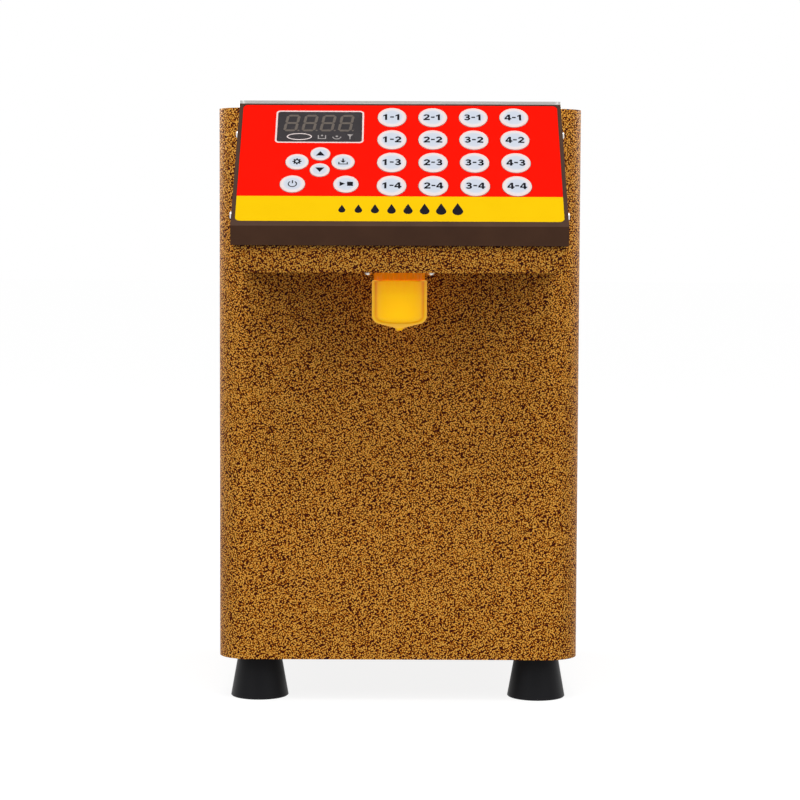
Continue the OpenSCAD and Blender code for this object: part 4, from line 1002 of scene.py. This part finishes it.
# ------------------------------------------------------------------ pump, motor and hoses
# A gear pump and its motor on a folded bracket, joined by a coupling. Clear
# silicone hoses lead from the tank to the pump and from it to the nozzle.
pump_alloy = brushed("pump_alloy", (0.66, 0.66, 0.68), 0.34)
gear_steel = brushed("gear_steel", (0.70, 0.69, 0.68), 0.22)
rotor_steel = brushed("rotor_steel", (0.48, 0.32, 0.20), 0.40)
bracket_zinc = brushed("bracket_zinc", (0.68, 0.68, 0.66), 0.30)
paint(pump_alloy, "pump_body", "pump_cover", "shaft_coupling")
paint(gear_steel, "pump_drive_gear", "pump_idler_gear")
paint(rotor_steel, "motor_rotor")
paint(bracket_zinc, "pump_bracket")
motor_paint = moulded(
    "motor_paint",
    (0.030, 0.030, 0.033),
    (0.042, 0.042, 0.045),
    (0.4, 0.5),
    1.0 * MM,
    0.03 * MM,
)
paint(motor_paint, "pump_motor")
hose_silicone = moulded(
    "hose_silicone",
    (0.60, 0.60, 0.55),
    (0.70, 0.70, 0.66),
    (0.28, 0.36),
    3.0 * MM,
    0.03 * MM,
    Subsurface_Weight=0.3,
    Subsurface_Scale=0.004,
)
paint(hose_silicone, "suction_hose", "delivery_hose")

# ------------------------------------------------------------------ electrics
# The boxed power supply, the circuit board with its key switches, and the
# digit display's housing.
paint(brushed("supply_case", (0.70, 0.71, 0.72), 0.36), "power_supply")
board_mask = moulded(
    "board_green",
    (0.008, 0.085, 0.030),
    (0.012, 0.110, 0.040),
    (0.25, 0.35),
    1.0 * MM,
    0.02 * MM,
)
paint(board_mask, "control_board")
paint(fitting_plastic, "key_switches", "display_module")

# ------------------------------------------------------------------ studio
# A white floor under a white sky. Soft lamps stand at either side of the
# camera and behind the cabinet, and a broad one hangs over its front.
FLOOR_HALF = 20
floor_mesh = bpy.data.meshes.new("floor")
floor_corners = rectangle(-FLOOR_HALF, -FLOOR_HALF, FLOOR_HALF, FLOOR_HALF)
floor_mesh.from_pydata([(x, y, 0) for x, y in floor_corners], [], [(0, 1, 2, 3)])
floor = bpy.data.objects.new("floor", floor_mesh)
scene.collection.objects.link(floor)


def seen_directly(tree):
    """1 for the camera's rays and for those that metal and glass send on."""
    path = tree.nodes.new("ShaderNodeLightPath")
    bright = path.outputs["Is Camera Ray"]
    for kind in ("Is Glossy Ray", "Is Transmission Ray"):
        bright = math_node(tree, "MAXIMUM", bright, path.outputs[kind])
    return bright


# The floor's own white is weaker near the object, where the lamps add the rest.
GLOW_NEAR = (0.5, 0.87)  # metres from the middle, strength
GLOW_FAR = (1.8, 0.97)
floor_paint, tree, shader = new_material(
    "floor_white",
    Base_Color=(0.2, 0.2, 0.2, 1),
    Roughness=0.9,
    Specular_IOR_Level=0.0,
    Emission_Color=(1, 1, 1, 1),
)
place = tree.nodes.new("ShaderNodeTexCoord")
reach = tree.nodes.new("ShaderNodeVectorMath")
reach.operation = "LENGTH"
tree.links.new(place.outputs["Object"], reach.inputs[0])
glow = tree.nodes.new("ShaderNodeMapRange")
glow.inputs["From Min"].default_value, glow.inputs["To Min"].default_value = GLOW_NEAR
glow.inputs["From Max"].default_value, glow.inputs["To Max"].default_value = GLOW_FAR
tree.links.new(reach.outputs["Value"], glow.inputs["Value"])
tree.links.new(
    math_node(tree, "MULTIPLY", seen_directly(tree), glow.outputs["Result"]),
    shader.inputs["Emission Strength"],
)
floor_mesh.materials.append(floor_paint)

SKY_LIGHT = 0.12
world = bpy.data.worlds.new("studio")
scene.world = world
world.use_nodes = True
background = world.node_tree.nodes["Background"]
background.inputs["Color"].default_value = (1, 1, 1, 1)
world.node_tree.links.new(
    math_node(world.node_tree, "MAXIMUM", seen_directly(world.node_tree), SKY_LIGHT),
    background.inputs["Strength"],
)


AIM = (0, 0, 0.25)  # the point that every lamp faces


def lamp(name, place, size, watts):
    """A soft rectangular lamp."""
    light = bpy.data.lights.new(name, "AREA")
    light.shape = "RECTANGLE"
    light.size, light.size_y = size
    light.energy = watts
    piece = bpy.data.objects.new(name, light)
    piece.location = place
    piece.rotation_mode = "QUATERNION"
    piece.rotation_quaternion = (Vector(AIM) - Vector(place)).to_track_quat("-Z", "Y")
    scene.collection.objects.link(piece)


lamp("lamp_over", (0, -0.85, 1.85), (0.9, 0.6), 18)
for side in (-1, 1):
    lamp(f"lamp_front_{side}", (side * 0.80, -0.95, 1.0), (0.5, 0.8), 5)
    lamp(f"lamp_rear_{side}", (side * 1.3, 1.1, 0.9), (0.8, 0.8), 12)
